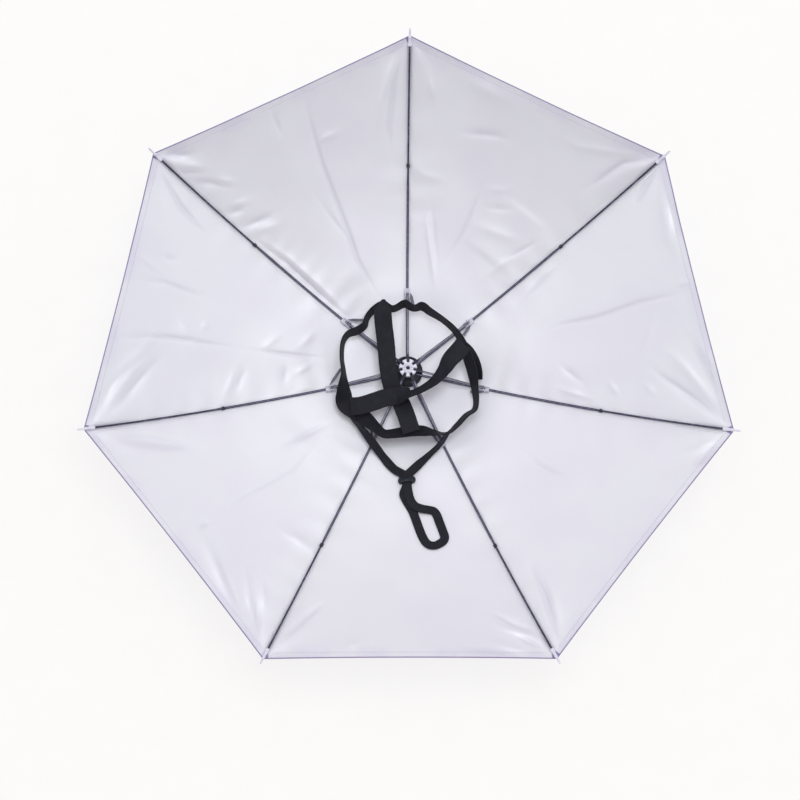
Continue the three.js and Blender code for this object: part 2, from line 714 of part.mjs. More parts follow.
function add(name, geometry, material, turn = 0) {
  const mesh = new THREE.Mesh(geometry, material);
  mesh.name = name;
  mesh.rotation.z = turn;
  hat.add(mesh);
  return mesh;
}

const silverCloth = () => finish(0xd9d8e4, 0.45, 0.2);
const darkSteel = () => finish(0x34323f, 0.4, 0.7);
const greySteel = () => finish(0x8b8a99, 0.35, 0.7);
const whitePlastic = () => finish(0xe4e3ec, 0.45, 0);
const blackPlastic = () => finish(0x22222a, 0.45, 0);
const blackWebbing = () => finish(0x1e1e26, 0.9, 0);
const greyTape = () => finish(0x6f6f7c, 0.9, 0);

const rib = ribGeometry();
const tip = tipGeometry();
const joint = jointGeometry();
const stretcher = stretcherGeometry();
for (let index = 0; index < panelCount; index += 1) {
  const number = index + 1;
  const ribTurn = Math.PI / 2 - panelPitch * index;
  add(`canopy_panel_${number}`, panelGeometry(index), silverCloth(), ribTurn - halfPanel);
  add(`rib_${number}`, rib, darkSteel(), ribTurn);
  add(`rib_tip_${number}`, tip, whitePlastic(), ribTurn);
  add(`rib_joint_${number}`, joint, whitePlastic(), ribTurn);
  add(`stretcher_${number}`, stretcher, greySteel(), ribTurn);
  add(`joint_tie_${number}`, tieGeometry(index), greyTape());
}

const hubNotchWidth = 2 * (ribRadius + clearance);
const hub = notchedDisc(hubRadius, hubNotchDepth, hubNotchWidth, hubThickness);
add('notch_hub', hub, blackPlastic()).position.z = hubFloor;
const runnerNotchWidth = stretcherWidth + 2 * clearance;
const runner = notchedDisc(runnerRadius, runnerNotchDepth, runnerNotchWidth, runnerThickness);
add('runner', runner, whitePlastic()).position.z = runnerHeight - runnerThickness / 2;
add('crown_cap', capGeometry(), whitePlastic());
add('shaft', shaftGeometry(), whitePlastic());

add('head_band', bandGeometry(), blackWebbing());
add('crown_strap_a', strapGeometry(strapRowsA, bandWidth), blackWebbing());
add('crown_strap_b', strapGeometry(strapRowsB, bandWidth), blackWebbing());
add('strap_tail', strapGeometry(tailRows, tailWidth), blackWebbing());
add('chin_strap', chinGeometry(), blackWebbing());

// The cord lock sits at this row of the chin strap, and lies as the lining leans there
const lockRow = chinRows[7];
const [lockX, lockY] = strapPlan(lockRow);
const lockFall = restHeight(lockX, lockY - lockDepth / 2) - restHeight(lockX, lockY + lockDepth / 2);
const lock = add('cord_lock', lockGeometry(), blackPlastic());
lock.rotation.set(-Math.atan(lockFall / lockDepth), 0, THREE.MathUtils.degToRad(lockTurn));
lock.position.set(lockX, lockY, restHeight(lockX, lockY) + lockSeat + lockHeight / 2);

export default hat;
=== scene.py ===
import math

import bmesh
import bpy
import numpy as np
from mathutils import Matrix, Vector


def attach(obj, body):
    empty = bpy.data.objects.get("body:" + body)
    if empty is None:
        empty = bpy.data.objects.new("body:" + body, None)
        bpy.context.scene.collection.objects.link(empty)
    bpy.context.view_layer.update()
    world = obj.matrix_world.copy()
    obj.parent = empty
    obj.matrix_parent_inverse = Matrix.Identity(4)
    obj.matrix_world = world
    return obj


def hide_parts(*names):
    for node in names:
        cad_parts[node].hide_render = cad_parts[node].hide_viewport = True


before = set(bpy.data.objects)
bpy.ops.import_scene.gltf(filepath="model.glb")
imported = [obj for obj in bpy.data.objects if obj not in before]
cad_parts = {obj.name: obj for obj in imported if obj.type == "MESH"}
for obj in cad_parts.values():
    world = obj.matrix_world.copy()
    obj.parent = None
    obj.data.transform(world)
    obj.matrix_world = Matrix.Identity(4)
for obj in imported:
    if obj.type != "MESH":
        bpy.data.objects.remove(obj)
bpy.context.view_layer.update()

# Camera. It hangs nearly straight above the open hat, a little to the left and
# below the middle, with the first rib pointing up in the picture.
camera_spot = Vector((-0.0477, -0.2666, 1.9551))
camera_aim = Vector((-0.0106, -0.0461, 0.125))
camera_lens = 77.85
camera_sensor = 36

camera_body = bpy.data.cameras.new("camera_above")
camera_body.lens = camera_lens
camera_body.sensor_width = camera_sensor
camera = bpy.data.objects.new("camera_above", camera_body)
bpy.context.scene.collection.objects.link(camera)
ahead = (camera_aim - camera_spot).normalized()
right = ahead.cross(Vector((0, 1, 0))).normalized()
above = right.cross(ahead)
facing = Matrix((right, above, -ahead)).transposed()
camera.matrix_world = Matrix.Translation(camera_spot) @ facing.to_4x4()
bpy.context.scene.camera = camera
bpy.context.scene.view_settings.view_transform = "Standard"

# Floor and light. A pale floor, an even sky that is warm ahead and cooler at the
# sides, and one wide soft lamp nearly overhead, as in a product studio.
floor_size = 40
floor_colour = (0.22, 0.219, 0.215, 1)
floor_speck = (0.19, 0.189, 0.185, 1)
floor_grain = 30
floor_glow = (1, 0.992, 0.975, 1)
floor_glow_strength = 0.785
sky_warm = (1, 0.963, 0.978, 1)
sky_cool = (0.93, 0.965, 1, 1)
sky_base = 0.41
sky_zenith = 0.24
sky_sides = 0.58
sky_far = 0.18
lamp_spot = Vector((0.2, 0.42, 3))
lamp_aim = Vector((0, 0, 0.05))
lamp_size = 1.3
lamp_power = 27
lamp_colour = (0.93, 0.975, 1)


class Dye:
    """A socket of a material. Sums with it add Math nodes, and it starts other nodes."""

    def __init__(self, tree, socket=None):
        self.tree = tree
        self.socket = socket

    def node(self, kind, settings=None, values=None, output=0):
        made = self.tree.nodes.new("ShaderNode" + kind)
        for name, value in (settings or {}).items():
            if name == "stops":
                ramp = made.color_ramp
                while len(ramp.elements) < len(value):
                    ramp.elements.new(1)
                for stop, (place, colour) in zip(ramp.elements, value):
                    stop.position = place
                    stop.color = colour
            else:
                setattr(made, name, value)
        for name, value in (values or {}).items():
            if isinstance(value, Dye):
                self.tree.links.new(value.socket, made.inputs[name])
            else:
                made.inputs[name].default_value = value
        return Dye(self.tree, made.outputs[output])

    def sum(self, operation, *terms):
        return self.node("Math", {"operation": operation}, dict(enumerate(terms)))

    def __add__(self, other):
        return self.sum("ADD", self, other)

    __radd__ = __add__

    def __sub__(self, other):
        return self.sum("SUBTRACT", self, other)

    def __rsub__(self, other):
        return self.sum("SUBTRACT", other, self)

    def __mul__(self, other):
        return self.sum("MULTIPLY", self, other)

    __rmul__ = __mul__

    def wave(self, pitch):
        """From 0 to 1 and back once in each pitch."""
        return self.sum("SINE", self * (2 * math.pi / pitch)) * 0.5 + 0.5

    def parts(self):
        """The three numbers of a vector."""
        split = self.node("SeparateXYZ", None, {0: self})
        return [Dye(self.tree, socket) for socket in split.socket.node.outputs]

    def rise(self, low, high):
        """Smoothly from 0 at low to 1 at high."""
        settings = {"interpolation_type": "SMOOTHSTEP"}
        return self.node("MapRange", settings, {"Value": self, "From Min": low, "From Max": high})

    def mix(self, first, second):
        """From the first colour where this is 0 to the second where it is 1."""
        return self.node("Mix", {"data_type": "RGBA"}, {0: self, 6: first, 7: second}, 2)


def new_finish(name):
    """A material and a loose Dye to start its nodes from."""
    material = bpy.data.materials.new(name)
    material.use_nodes = True
    return material, Dye(material.node_tree)


def apply_finish(material, sockets):
    shader = material.node_tree.nodes["Principled BSDF"]
    for name, value in sockets.items():
        if isinstance(value, Dye):
            material.node_tree.links.new(value.socket, shader.inputs[name])
        else:
            shader.inputs[name].default_value = value


def place_of(dye):
    """The point in the hat's own frame, in metres."""
    return dye.node("TexCoord", output=3)


def speckle(dye, scale, detail=2, output=0):
    values = {"Vector": place_of(dye), "Scale": scale, "Detail": detail}
    return dye.node("TexNoise", None, values, output)


floor_paper, dye = new_finish("floor_paper")
apply_finish(floor_paper, {
    "Base Color": speckle(dye, floor_grain).mix(floor_colour, floor_speck),
    "Roughness": 0.9,
    "Specular IOR Level": 0.1,
    "Emission Color": floor_glow,
    "Emission Strength": floor_glow_strength,
})
floor_mesh = bpy.data.meshes.new("floor")
half_floor = floor_size / 2
floor_corners = [(-half_floor, -half_floor, 0), (half_floor, -half_floor, 0)]
floor_corners += [(half_floor, half_floor, 0), (-half_floor, half_floor, 0)]
floor_mesh.from_pydata(floor_corners, [], [(0, 1, 2, 3)])
floor_mesh.materials.append(floor_paper)
floor = bpy.data.objects.new("floor", floor_mesh)
bpy.context.scene.collection.objects.link(floor)

world = bpy.data.worlds.new("studio")
world.use_nodes = True
sky = world.node_tree.nodes["Background"]
sky_x, sky_y, sky_z = Dye(world.node_tree).node("TexCoord").parts()
to_sides = sky_x * sky_x
sky_strength = sky_base + sky_z * sky_zenith + to_sides * sky_sides + sky_y * sky_far
sky_tint = to_sides.mix(sky_warm, sky_cool)
world.node_tree.links.new(sky_tint.socket, sky.inputs["Color"])
world.node_tree.links.new(sky_strength.socket, sky.inputs["Strength"])
bpy.context.scene.world = world
lamp_body = bpy.data.lights.new("soft_lamp", "AREA")
lamp_body.shape = "DISK"
lamp_body.size = lamp_size
lamp_body.energy = lamp_power
lamp_body.color = lamp_colour
lamp = bpy.data.objects.new("soft_lamp", lamp_body)
lamp.location = lamp_spot
lamp.rotation_euler = (lamp_aim - lamp_spot).to_track_quat("-Z", "Y").to_euler()
bpy.context.scene.collection.objects.link(lamp)

# Canopy panels. Seven gores of light coated cloth, silver inside and lavender outside,
# sewn edge to edge and stretched straight across between the ribs. Sizes are in mm.
mm = 0.001
panel_count = 7
half_panel = math.pi / panel_count
panel_pitch = 2 * half_panel
canopy_radius = 353.9
canopy_rise = 125
canopy_wall = 1
canopy_floor = 4.3
seam_gap = 0.4
hem_dip = 1.4
hem_dip_sharpness = 6
corner_fold_depth = 2.2
corner_fold_start = 27
corner_fold_reach = 80
swell_spread = 26
swell_fade = 0.12
facet_rise = 0.193
eye_half = 4.3
canopy_eye = eye_half / math.cos(half_panel) + seam_gap
dome_radius = (canopy_radius**2 + canopy_rise**2) / (2 * canopy_rise)
dome_angle = math.asin(canopy_radius / dome_radius)
panel_columns = 144
panel_rows = 150
hem_stitch_in = 5
hem_stitch_depth = 0.25
hem_stitch_spread = 1.4
lining_colour = (0.85, 0.845, 0.89, 1)
lining_lilac = (0.76, 0.735, 0.85, 1)
# Painted shade of the lining's crease valleys, partly the coating worn along the folds.
lining_crease_shade = (0.6, 0.585, 0.68, 1)
outside_colour = (0.43, 0.35, 0.6, 1)
outside_deep = (0.36, 0.28, 0.53, 1)

# Soft swells of each panel. d and t: shares of canopy_radius out from the middle
# along the panel and across it, clockwise. Columns: panel, d0, t0, d1, t1, depth.
swell_rows = [
    (0, 0.42, 0.08, 0.62, 0.12, 0.5),
    (1, 0.3, 0.05, 0.86, 0.2, 0.6),
    (4, 0.36, 0.06, 0.86, -0.1, 0.6),
    (5, 0.3, -0.05, 0.88, -0.12, 0.6),
    (6, 0.3, -0.02, 0.86, -0.06, 0.7),
]

# Puckers along the seams, where the cloth pulls against its ribs. side: 1 for the
# clockwise seam. Columns: panel, side, from and to along the seam, pitch, height, reach.
pucker_rows = [
    (6, -1, 60, 350, 19, 0.3, 30), (6, 1, 180, 350, 34, 0.3, 26), (0, -1, 160, 340, 37, 0.45, 34),
    (0, 1, 120, 350, 29, 0.35, 24), (1, -1, 60, 350, 31, 0.3, 22), (1, 1, 90, 340, 26, 0.35, 24),
    (2, -1, 120, 330, 33, 0.3, 22), (2, 1, 90, 345, 30, 0.35, 26), (3, -1, 150, 350, 36, 0.28, 22),
    (3, 1, 120, 345, 33, 0.3, 22), (4, -1, 80, 345, 27, 0.4, 28), (4, 1, 150, 350, 35, 0.3, 24),
    (5, -1, 60, 345, 28, 0.45, 30), (5, 1, 100, 350, 30, 0.35, 24),
]
pucker_fade = 20
pucker_drift = 0.8
pucker_drift_pace = 31
ripple_height = 0.3
ripple_out = 13
ripple_across = 17
ripple_slant = 60
flat_by_seam = 0.5
full_by_seam = 7
crease_gain = 2.4
crest_softness = 2.2
crease_end_height = 0.12
crease_taper = 60

# Creases left by folding the hat away, and tension folds off the ribs and corners.
# Columns: panel, spread in mm, height in mm, then the line's points as d and t.
crease_rows = [
    (0, 2.6, -0.5, (0.34, -0.04), (0.48, -0.03), (0.59, -0.035), (0.67, -0.045)),
    (0, 2.6, 0.45, (0.48, -0.17), (0.28, -0.035)),
    (0, 7, 0.55, (0.59, -0.28), (0.575, -0.22), (0.59, -0.14)),
    (0, 3, 0.7, (0.83, -0.335), (0.77, -0.28)),
    (0, 8, 1, (0.865, -0.26), (0.85, -0.04)),
    (0, 4, -0.7, (0.725, -0.185), (0.765, -0.065), (0.77, 0)),
    (0, 4, -1.1, (0.89, 0.42), (0.84, 0.33), (0.735, 0.26)),
    (0, 3, -0.4, (0.45, 0.125), (0.55, 0.2)),
    (0, 6, 0.4, (0.375, 0.09), (0.49, 0.155)),
    (0, 7, 0.5, (0.507, -0.023), (0.521, 0.157)),
    (0, 4, 0.5, (0.889, 0.416), (0.829, 0.189), (0.832, 0.095)),
    (0, 2.6, -0.3, (0.335, -0.055), (0.545, -0.183)),
    (0, 2.6, 0.25, (0.61, -0.035), (0.65, 0.06)),
    (0, 2.6, -0.35, (0.565, -0.005), (0.6, 0.09)),
    (1, 2.4, -0.7, (0.44, -0.02), (0.505, -0.03), (0.61, -0.02), (0.74, -0.027), (0.89, -0.01)),
    (1, 2.4, 0.6, (0.84, -0.045), (0.89, -0.04)),
    (1, 3, -0.6, (0.389, -0.133), (0.556, -0.225)),
    (1, 7, 1.4, (0.885, -0.385), (0.866, -0.306), (0.859, -0.197), (0.872, -0.105)),
    (1, 5, -1, (0.887, -0.34), (0.89, -0.261), (0.885, -0.144)),
    (1, 4, -1.2, (0.885, -0.413), (0.833, -0.369), (0.79, -0.31)),
    (1, 4, -1.4, (0.887, 0.411), (0.834, 0.324), (0.765, 0.232), (0.726, 0.175)),
    (1, 6, 1.4, (0.89, 0.399), (0.853, 0.299), (0.808, 0.189), (0.767, 0.121)),
    (1, 5, -1.1, (0.888, 0.353), (0.876, 0.226), (0.845, 0.12)),
    (1, 5, 1, (0.89, 0.3), (0.88, 0.2), (0.862, 0.11)),
    (1, 5, 0.6, (0.796, -0.012), (0.75, 0.068), (0.703, 0.149)),
    (1, 4, -0.5, (0.47, 0.09), (0.535, 0.18)),
    (1, 4, 0.5, (0.44, 0.16), (0.55, 0.23)),
    (1, 3, 0.6, (0.7, 0.22), (0.72, 0.27)),
    (1, 3, 0.5, (0.6, 0.18), (0.62, 0.24)),
    (2, 5, 1.1, (0.83, -0.29), (0.885, -0.4)),
    (2, 2.4, -0.5, (0.44, -0.02), (0.51, -0.02), (0.565, -0.03), (0.63, -0.05)),
    (2, 3.5, -1.5, (0.674, 0.25), (0.771, 0.305), (0.861, 0.374), (0.895, 0.405)),
    (2, 4, 1.1, (0.687, 0.228), (0.784, 0.288), (0.87, 0.367)),
    (2, 5, -1.1, (0.893, -0.39), (0.872, -0.26)),
    (3, 3.5, -1.3, (0.765, -0.245), (0.8, -0.31), (0.84, -0.4)),
    (3, 4, 1.1, (0.797, -0.25), (0.848, -0.396)),
    (3, 3.5, -1.2, (0.827, -0.308), (0.877, -0.405)),
    (3, 4, 0.9, (0.847, -0.229), (0.891, -0.383)),
    (3, 4, -0.6, (0.87, -0.09), (0.88, -0.24), (0.9, -0.41)),
    (3, 4, 0.7, (0.87, 0.2), (0.85, 0.145)),
    (3, 4, -1.1, (0.86, 0.39), (0.78, 0.31), (0.73, 0.245)),
    (4, 3, -0.9, (0.822, -0.004), (0.778, -0.01)),
    (4, 2.4, -0.35, (0.79, -0.01), (0.73, 0), (0.61, -0.01), (0.475, -0.03), (0.32, 0)),
    (4, 7, 1.9, (0.817, -0.011), (0.844, -0.131), (0.869, -0.263), (0.879, -0.355)),
    (4, 4, -1.3, (0.825, -0.12), (0.854, -0.223), (0.882, -0.328)),
    (4, 4, 1.3, (0.782, -0.192), (0.828, -0.27), (0.86, -0.346)),
    (4, 4, -1.4, (0.8, -0.25), (0.84, -0.32), (0.885, -0.395)),
    (4, 4, 1, (0.763, -0.245), (0.815, -0.33)),
    (4, 6, 0.9, (0.63, -0.15), (0.605, -0.21), (0.582, -0.29)),
    (4, 8, -1.1, (0.884, 0.396), (0.795, 0.315), (0.67, 0.192)),
    (4, 6, -0.7, (0.276, 0.019), (0.486, 0.056)),
    (5, 2.6, -0.8, (0.89, -0.15), (0.8, -0.11), (0.735, -0.09), (0.64, -0.075), (0.53, -0.06)),
    (5, 2.6, -0.6, (0.53, -0.06), (0.37, -0.035), (0.25, -0.015)),
    (5, 2.6, -0.6, (0.88, 0.04), (0.79, 0.07), (0.7, 0.065), (0.64, 0.06)),
    (5, 3, 0.6, (0.89, 0.13), (0.795, 0.09)),
    (5, 3, -0.5, (0.82, 0.14), (0.755, 0.155)),
    (5, 3.5, -1.1, (0.881, 0.397), (0.841, 0.357), (0.795, 0.309), (0.737, 0.273), (0.69, 0.25)),
    (5, 6, 1.5, (0.775, -0.08), (0.8, -0.15), (0.838, -0.227), (0.88, -0.38)),
    (5, 4, -1.2, (0.8, -0.14), (0.859, -0.286), (0.885, -0.395)),
    (5, 5, 1.3, (0.77, -0.15), (0.813, -0.231), (0.87, -0.4)),
    (5, 4, -1.2, (0.74, -0.15), (0.77, -0.195), (0.85, -0.385)),
    (5, 7, 0.9, (0.73, -0.01), (0.69, -0.06), (0.66, -0.1)),
    (5, 4, 0.55, (0.526, -0.118), (0.54, -0.24)),
    (5, 5, -0.6, (0.499, -0.098), (0.516, -0.21)),
    (5, 4, -0.5, (0.38, -0.064), (0.374, -0.141)),
    (5, 5, 0.5, (0.468, -0.052), (0.412, 0.026)),
    (5, 5, 0.45, (0.359, -0.016), (0.312, 0.063)),
    (5, 4, 0.4, (0.351, -0.099), (0.299, -0.043)),
    (5, 3, 0.5, (0.65, -0.045), (0.64, 0)),
    (6, 2.6, -0.8, (0.88, 0.06), (0.69, 0.03), (0.48, 0.02), (0.39, 0.01), (0.26, 0.02)),
    (6, 2.6, -0.5, (0.89, -0.05), (0.79, -0.05)),
    (6, 3, 0.6, (0.75, 0.04), (0.75, 0.13)),
    (6, 2.6, -0.45, (0.62, -0.03), (0.54, -0.01), (0.42, 0.02)),
    (6, 4, -0.8, (0.88, -0.42), (0.86, -0.3)),
    (6, 4, -0.7, (0.894, -0.411), (0.879, -0.379), (0.852, -0.337)),
    (6, 4, 0.6, (0.877, -0.404), (0.87, -0.347)),
    (6, 4, -0.8, (0.84, -0.4), (0.822, -0.37), (0.798, -0.302)),
    (6, 4, 0.6, (0.846, -0.381), (0.814, -0.307)),
    (6, 4.5, -0.8, (0.802, -0.378), (0.764, -0.303), (0.731, -0.252)),
    (6, 4, 0.6, (0.776, -0.304), (0.739, -0.234)),
    (6, 3.5, -0.7, (0.675, -0.316), (0.668, -0.24)),
    (6, 3.5, 0.5, (0.69, -0.301), (0.681, -0.212)),
    (6, 4.5, -0.9, (0.625, -0.293), (0.619, -0.234), (0.621, -0.163)),
    (6, 4.5, 0.5, (0.59, -0.262), (0.589, -0.214), (0.587, -0.159)),
    (6, 3.5, -0.9, (0.569, -0.259), (0.477, -0.203), (0.369, -0.157), (0.254, -0.107)),
    (6, 4, 0.65, (0.567, -0.239), (0.479, -0.185), (0.374, -0.137), (0.257, -0.091)),
    (6, 4, -1, (0.9, 0.42), (0.8, 0.33), (0.7, 0.27), (0.6, 0.24)),
    (6, 4, 0.9, (0.9, 0.4), (0.78, 0.28), (0.66, 0.2)),
]


def smooth_step(low, high, value):
    share = np.clip((value - low) / (high - low), 0, 1)
    return share * share * (3 - 2 * share)


def dome_height(reach):
    """Height of the dome that the ribs follow, at a distance from the middle."""
    return canopy_floor + dome_radius - np.sqrt(dome_radius**2 - reach**2)


def line_gap(d, t, start, end):
    """Distance to a straight line between two points, and how far along it, from 0 to 1."""
    run = np.subtract(end, start)
    share = np.clip(((d - start[0]) * run[0] + (t - start[1]) * run[1]) / (run @ run), 0, 1)
    gap = np.hypot(d - start[0] - share * run[0], t - start[1] - share * run[1])
    return gap, share


def swell_height(panel, d, t):
    """Folds that fan out of a panel's outer corners, and its soft swells."""
    corner_d = canopy_radius * math.cos(half_panel)
    corner_t = canopy_radius * math.sin(half_panel)
    away = np.hypot(corner_d - d, corner_t - np.abs(t))
    along = np.arctan2(corner_t - np.abs(t), corner_d - d)
    fan_share = np.clip((along - half_panel) / (math.pi / 2 - half_panel), 0, 1)
    near_corner = np.exp(-((away / corner_fold_reach) ** 2))
    near_corner = near_corner * smooth_step(0, corner_fold_start, away)
    height = corner_fold_depth * near_corner * np.sin(2 * math.pi * fan_share)
    for row_panel, d0, t0, d1, t1, depth in swell_rows:
        if row_panel == panel:
            start = (d0 * canopy_radius, t0 * canopy_radius)
            end = (d1 * canopy_radius, t1 * canopy_radius)
            gap, share = line_gap(d, t, start, end)
            fade = smooth_step(0, swell_fade, share) * smooth_step(0, swell_fade, 1 - share)
            swell = np.exp(-((gap / swell_spread) ** 2))
            height = height + depth * corner_fold_depth * fade * swell
    return height


def crease_lines(panel, d, t):
    """Height of a panel's creases and tension folds."""
    height = np.zeros_like(d)
    for row_panel, spread, peak, *points in crease_rows:
        if row_panel != panel:
            continue
        line = np.array(points) * canopy_radius
        steps = np.hypot(*np.diff(line, axis=0).T)
        before = np.concatenate([[0], np.cumsum(steps)])
        nearest = np.full_like(d, np.inf)
        place = np.zeros_like(d)
        for start, end, step, start_at in zip(line, line[1:], steps, before):
            gap, share = line_gap(d, t, start, end)
            place = np.where(gap < nearest, start_at + share * step, place)
            nearest = np.minimum(gap, nearest)
        ends = np.minimum(place, before[-1] - place)
        rise = smooth_step(0, min(before[-1] / 2, crease_taper), ends)
        fade = crease_end_height + (1 - crease_end_height) * rise
        crest = max(spread / 2, crest_softness)
        flank = np.exp(2 * (crest - np.hypot(crest, nearest)) / spread)
        height = height + crease_gain * peak * fade * flank
    return height


def crease_height(panel, d, t):
    """All fine folds of a panel, which die out at its seams so that they clear the ribs."""
    height = crease_lines(panel, d, t)
    ripple = np.sin(d / ripple_out + 1.9 * panel)
    ripple = ripple * np.sin(t / ripple_across + 2.3 * panel + d / ripple_slant)
    height = height + ripple_height * ripple
    for row_panel, side, first, last, pitch, peak, depth in pucker_rows:
        if row_panel == panel:
            away = (d * math.tan(half_panel) - side * t) * math.cos(half_panel)
            along = d / math.cos(half_panel) - 0.5 * away
            span = smooth_step(first, first + pucker_fade, along)
            span = span * smooth_step(-last, pucker_fade - last, -along)
            drift = pucker_drift * np.sin(along / pucker_drift_pace + panel)
            wave = np.sin(2 * math.pi * along / pitch + drift)
            height = height + peak * span * wave * np.exp(-((away / depth) ** 2))
    hem_gap = canopy_radius * math.cos(half_panel) - hem_dip - d
    from_stitches = (hem_gap - hem_stitch_in) / hem_stitch_spread
    height = height - hem_stitch_depth * np.exp(-(from_stitches**2))
    seam_away = d * math.tan(half_panel) - np.abs(t)
    return height * smooth_step(flat_by_seam, full_by_seam, seam_away)


def cloth_point(panel, across, out, offset):
    """A point of a panel's cloth, offset from its outer face, with its d and t."""
    side = 2 * across - 1
    reach = canopy_eye + (canopy_radius - canopy_eye) * out
    dip = hem_dip * (1 - side * side) * out**hem_dip_sharpness
    lean = np.arctan(np.tan(np.arcsin(reach / dome_radius)) / math.cos(half_panel))
    inward = offset * np.sin(lean)
    seam = reach * math.cos(half_panel) - inward
    d = seam - dip
    t = side * (seam * math.tan(half_panel) - seam_gap / 2 / math.cos(half_panel))
    height = dome_height((seam + inward - dip) / math.cos(half_panel))
    height = height + swell_height(panel, d, t) + crease_height(panel, d, t)
    points = np.stack([d, -t, height + offset * np.cos(lean)], axis=-1)
    turn = math.pi / 2 - panel * panel_pitch - half_panel
    return turned(points, turn), d, t


def turned(points, turn):
    """Points turned about the hat's own axis."""
    x, y, z = np.moveaxis(np.asarray(points, float), -1, 0)
    cosine, sine = math.cos(turn), math.sin(turn)
    return np.stack([x * cosine - y * sine, x * sine + y * cosine, z], axis=-1)


def sheet_body(lower, upper, lower_map, upper_map):
    """A closed thin body between two grids of points, with a flat map in metres."""
    rows, columns = lower.shape[:2]
    layer = rows * columns
    index = np.arange(layer).reshape(rows, columns)
    a, b = index[:-1, :-1].ravel(), index[:-1, 1:].ravel()
    c, d = index[1:, 1:].ravel(), index[1:, :-1].ravel()
    faces = [np.stack([a, b, c, d], 1), np.stack([a, d, c, b], 1) + layer]
    rims = [index[0, ::-1], index[-1], index[:, 0], index[::-1, -1]]
    for rim in rims:
        faces.append(np.stack([rim[:-1], rim[:-1] + layer, rim[1:] + layer, rim[1:]], 1))
    points = np.concatenate([lower.reshape(-1, 3), upper.reshape(-1, 3)])
    flat = np.concatenate([lower_map.reshape(-1, 2), upper_map.reshape(-1, 2)])
    faces = np.concatenate(faces)
    return points, faces.tolist(), flat[faces].reshape(-1, 2)


def joined(bodies):
    """Several bodies as one."""
    points, faces, maps, count = [], [], [], 0
    for body_points, body_faces, body_map in bodies:
        points.append(body_points)
        faces += [[corner + count for corner in face] for face in body_faces]
        maps.append(body_map)
        count += len(body_points)
    return np.concatenate(points), faces, np.concatenate(maps)


def new_piece(name, body, *materials, sharp=40):
    """An object from a body in mm. Its map, in metres, is the layer named cut."""
    points, faces, flat = body
    mesh = bpy.data.meshes.new(name)
    mesh.from_pydata((points * mm).tolist(), [], faces)
    layer = mesh.uv_layers.new(name="cut")
    layer.data.foreach_set("uv", np.asarray(flat, np.float32).ravel())
    for material in materials:
        mesh.materials.append(material)
    work = bmesh.new()
    work.from_mesh(mesh)
    bmesh.ops.recalc_face_normals(work, faces=work.faces)
    work.to_mesh(mesh)
    work.free()
    mesh.shade_smooth()
    mesh.set_sharp_from_angle(angle=math.radians(sharp))
    piece = bpy.data.objects.new(name, mesh)
    bpy.context.scene.collection.objects.link(piece)
    return piece


def flat_map(dye):
    """The two lengths of a piece's flat map, in metres."""
    return dye.node("UVMap", {"uv_map": "cut"}).parts()[:2]


def cloth_finish(name, colour, shade, crease_shade, metal, roughness, weave):
    """Coated cloth. Its crease valleys are painted darker: painted shade, partly the coating worn
    along the folds.
    """
    material, dye = new_finish(name)
    across, along = flat_map(dye)
    hem = canopy_radius * math.cos(half_panel) * mm
    blotch = speckle(dye, 9, 3).rise(0.4, 0.68)
    patches = speckle(dye, 22, 2).rise(0.42, 0.6)
    hem_band = along.rise(hem - 16 * mm, hem - 3 * mm) * patches * 0.5
    tint = blotch * 0.25 + hem_band
    threads = across.wave(weave) * along.wave(weave)
    crinkle = speckle(dye, 90, 4)
    relief = dye.node("Bump", None, {
        "Strength": 0.4,
        "Distance": 0.0005,
        "Height": crinkle * 0.8 + threads * 0.14,
    })
    crease = dye.node("Attribute", {"attribute_name": "crease"}, output=2)
    # Painted shade: the colour darkens with the depth of the crease valleys.
    valley = (0 - crease).rise(0.2, 1.3) * 0.22
    apply_finish(material, {
        "Base Color": valley.mix(tint.mix(colour, shade), crease_shade),
        "Metallic": metal,
        "Roughness": roughness + speckle(dye, 40) * 0.1,
        "Normal": relief,
    })
    return material


# The third colour of each cloth is the painted shade of its crease valleys.
silver_lining = cloth_finish(
    "silver_lining", lining_colour, lining_lilac, lining_crease_shade, 0.35, 0.48, 0.0011
)
lavender_cloth = cloth_finish(
    "lavender_cloth", outside_colour, outside_deep, outside_deep, 0, 0.62, 0.0011
)

grid_out, grid_across = np.meshgrid(
    np.linspace(0, 1, panel_rows + 1), np.linspace(0, 1, panel_columns + 1), indexing="ij"
)
panel_length = (canopy_radius - canopy_eye) * math.cos(half_panel)
panel_width = 2 * canopy_radius * math.sin(half_panel)
for panel in range(panel_count):
    outside, d, t = cloth_point(panel, grid_across, grid_out, 0)
    lining, _, _ = cloth_point(panel, grid_across, grid_out, canopy_wall)
    flat = np.stack([t, d], -1) * mm
    piece = new_piece(
        f"cloth_panel_{panel + 1}",
        sheet_body(lining, outside, flat, flat),
        silver_lining,
        lavender_cloth,
        sharp=60,
    )
    lining_faces = panel_columns * panel_rows
    indices = np.ones(len(piece.data.polygons), int)
    indices[:lining_faces] = 0
    piece.data.polygons.foreach_set("material_index", indices)
    creases = crease_lines(panel, d, t).ravel()
    layer = piece.data.attributes.new("crease", "FLOAT", "POINT")
    layer.data.foreach_set("value", np.tile(creases, 2).astype(np.float32))
    out_steps = lining[1:, :-1] - lining[:-1, :-1]
    across_steps = lining[:-1, 1:] - lining[:-1, :-1]
    cuts = np.linalg.norm(np.cross(out_steps, across_steps), axis=-1)
    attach(piece, "root")
    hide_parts(f"canopy_panel_{panel + 1}")
    float(cuts.sum()) * mm**2

# Hems. The outer edge of each panel is rolled over a narrow fold of the lavender
# outside cloth and sewn down by a row of lilac stitches on the lining.
hem_roll_width = 1.3
hem_roll_height = 1.5
hem_colour = (0.3, 0.25, 0.43, 1)
hem_deep = (0.21, 0.175, 0.33, 1)
stitch_pitch = 3.2
stitch_length = 2.3
stitch_radius = 0.22
stitch_seat = 0.1
first_stitch = 2.3
stitches_left_out = 4
hem_inset = 0.004
hem_points = 121
thread_colour = (0.68, 0.66, 0.78, 1)
dark_thread_colour = (0.05, 0.045, 0.07, 1)

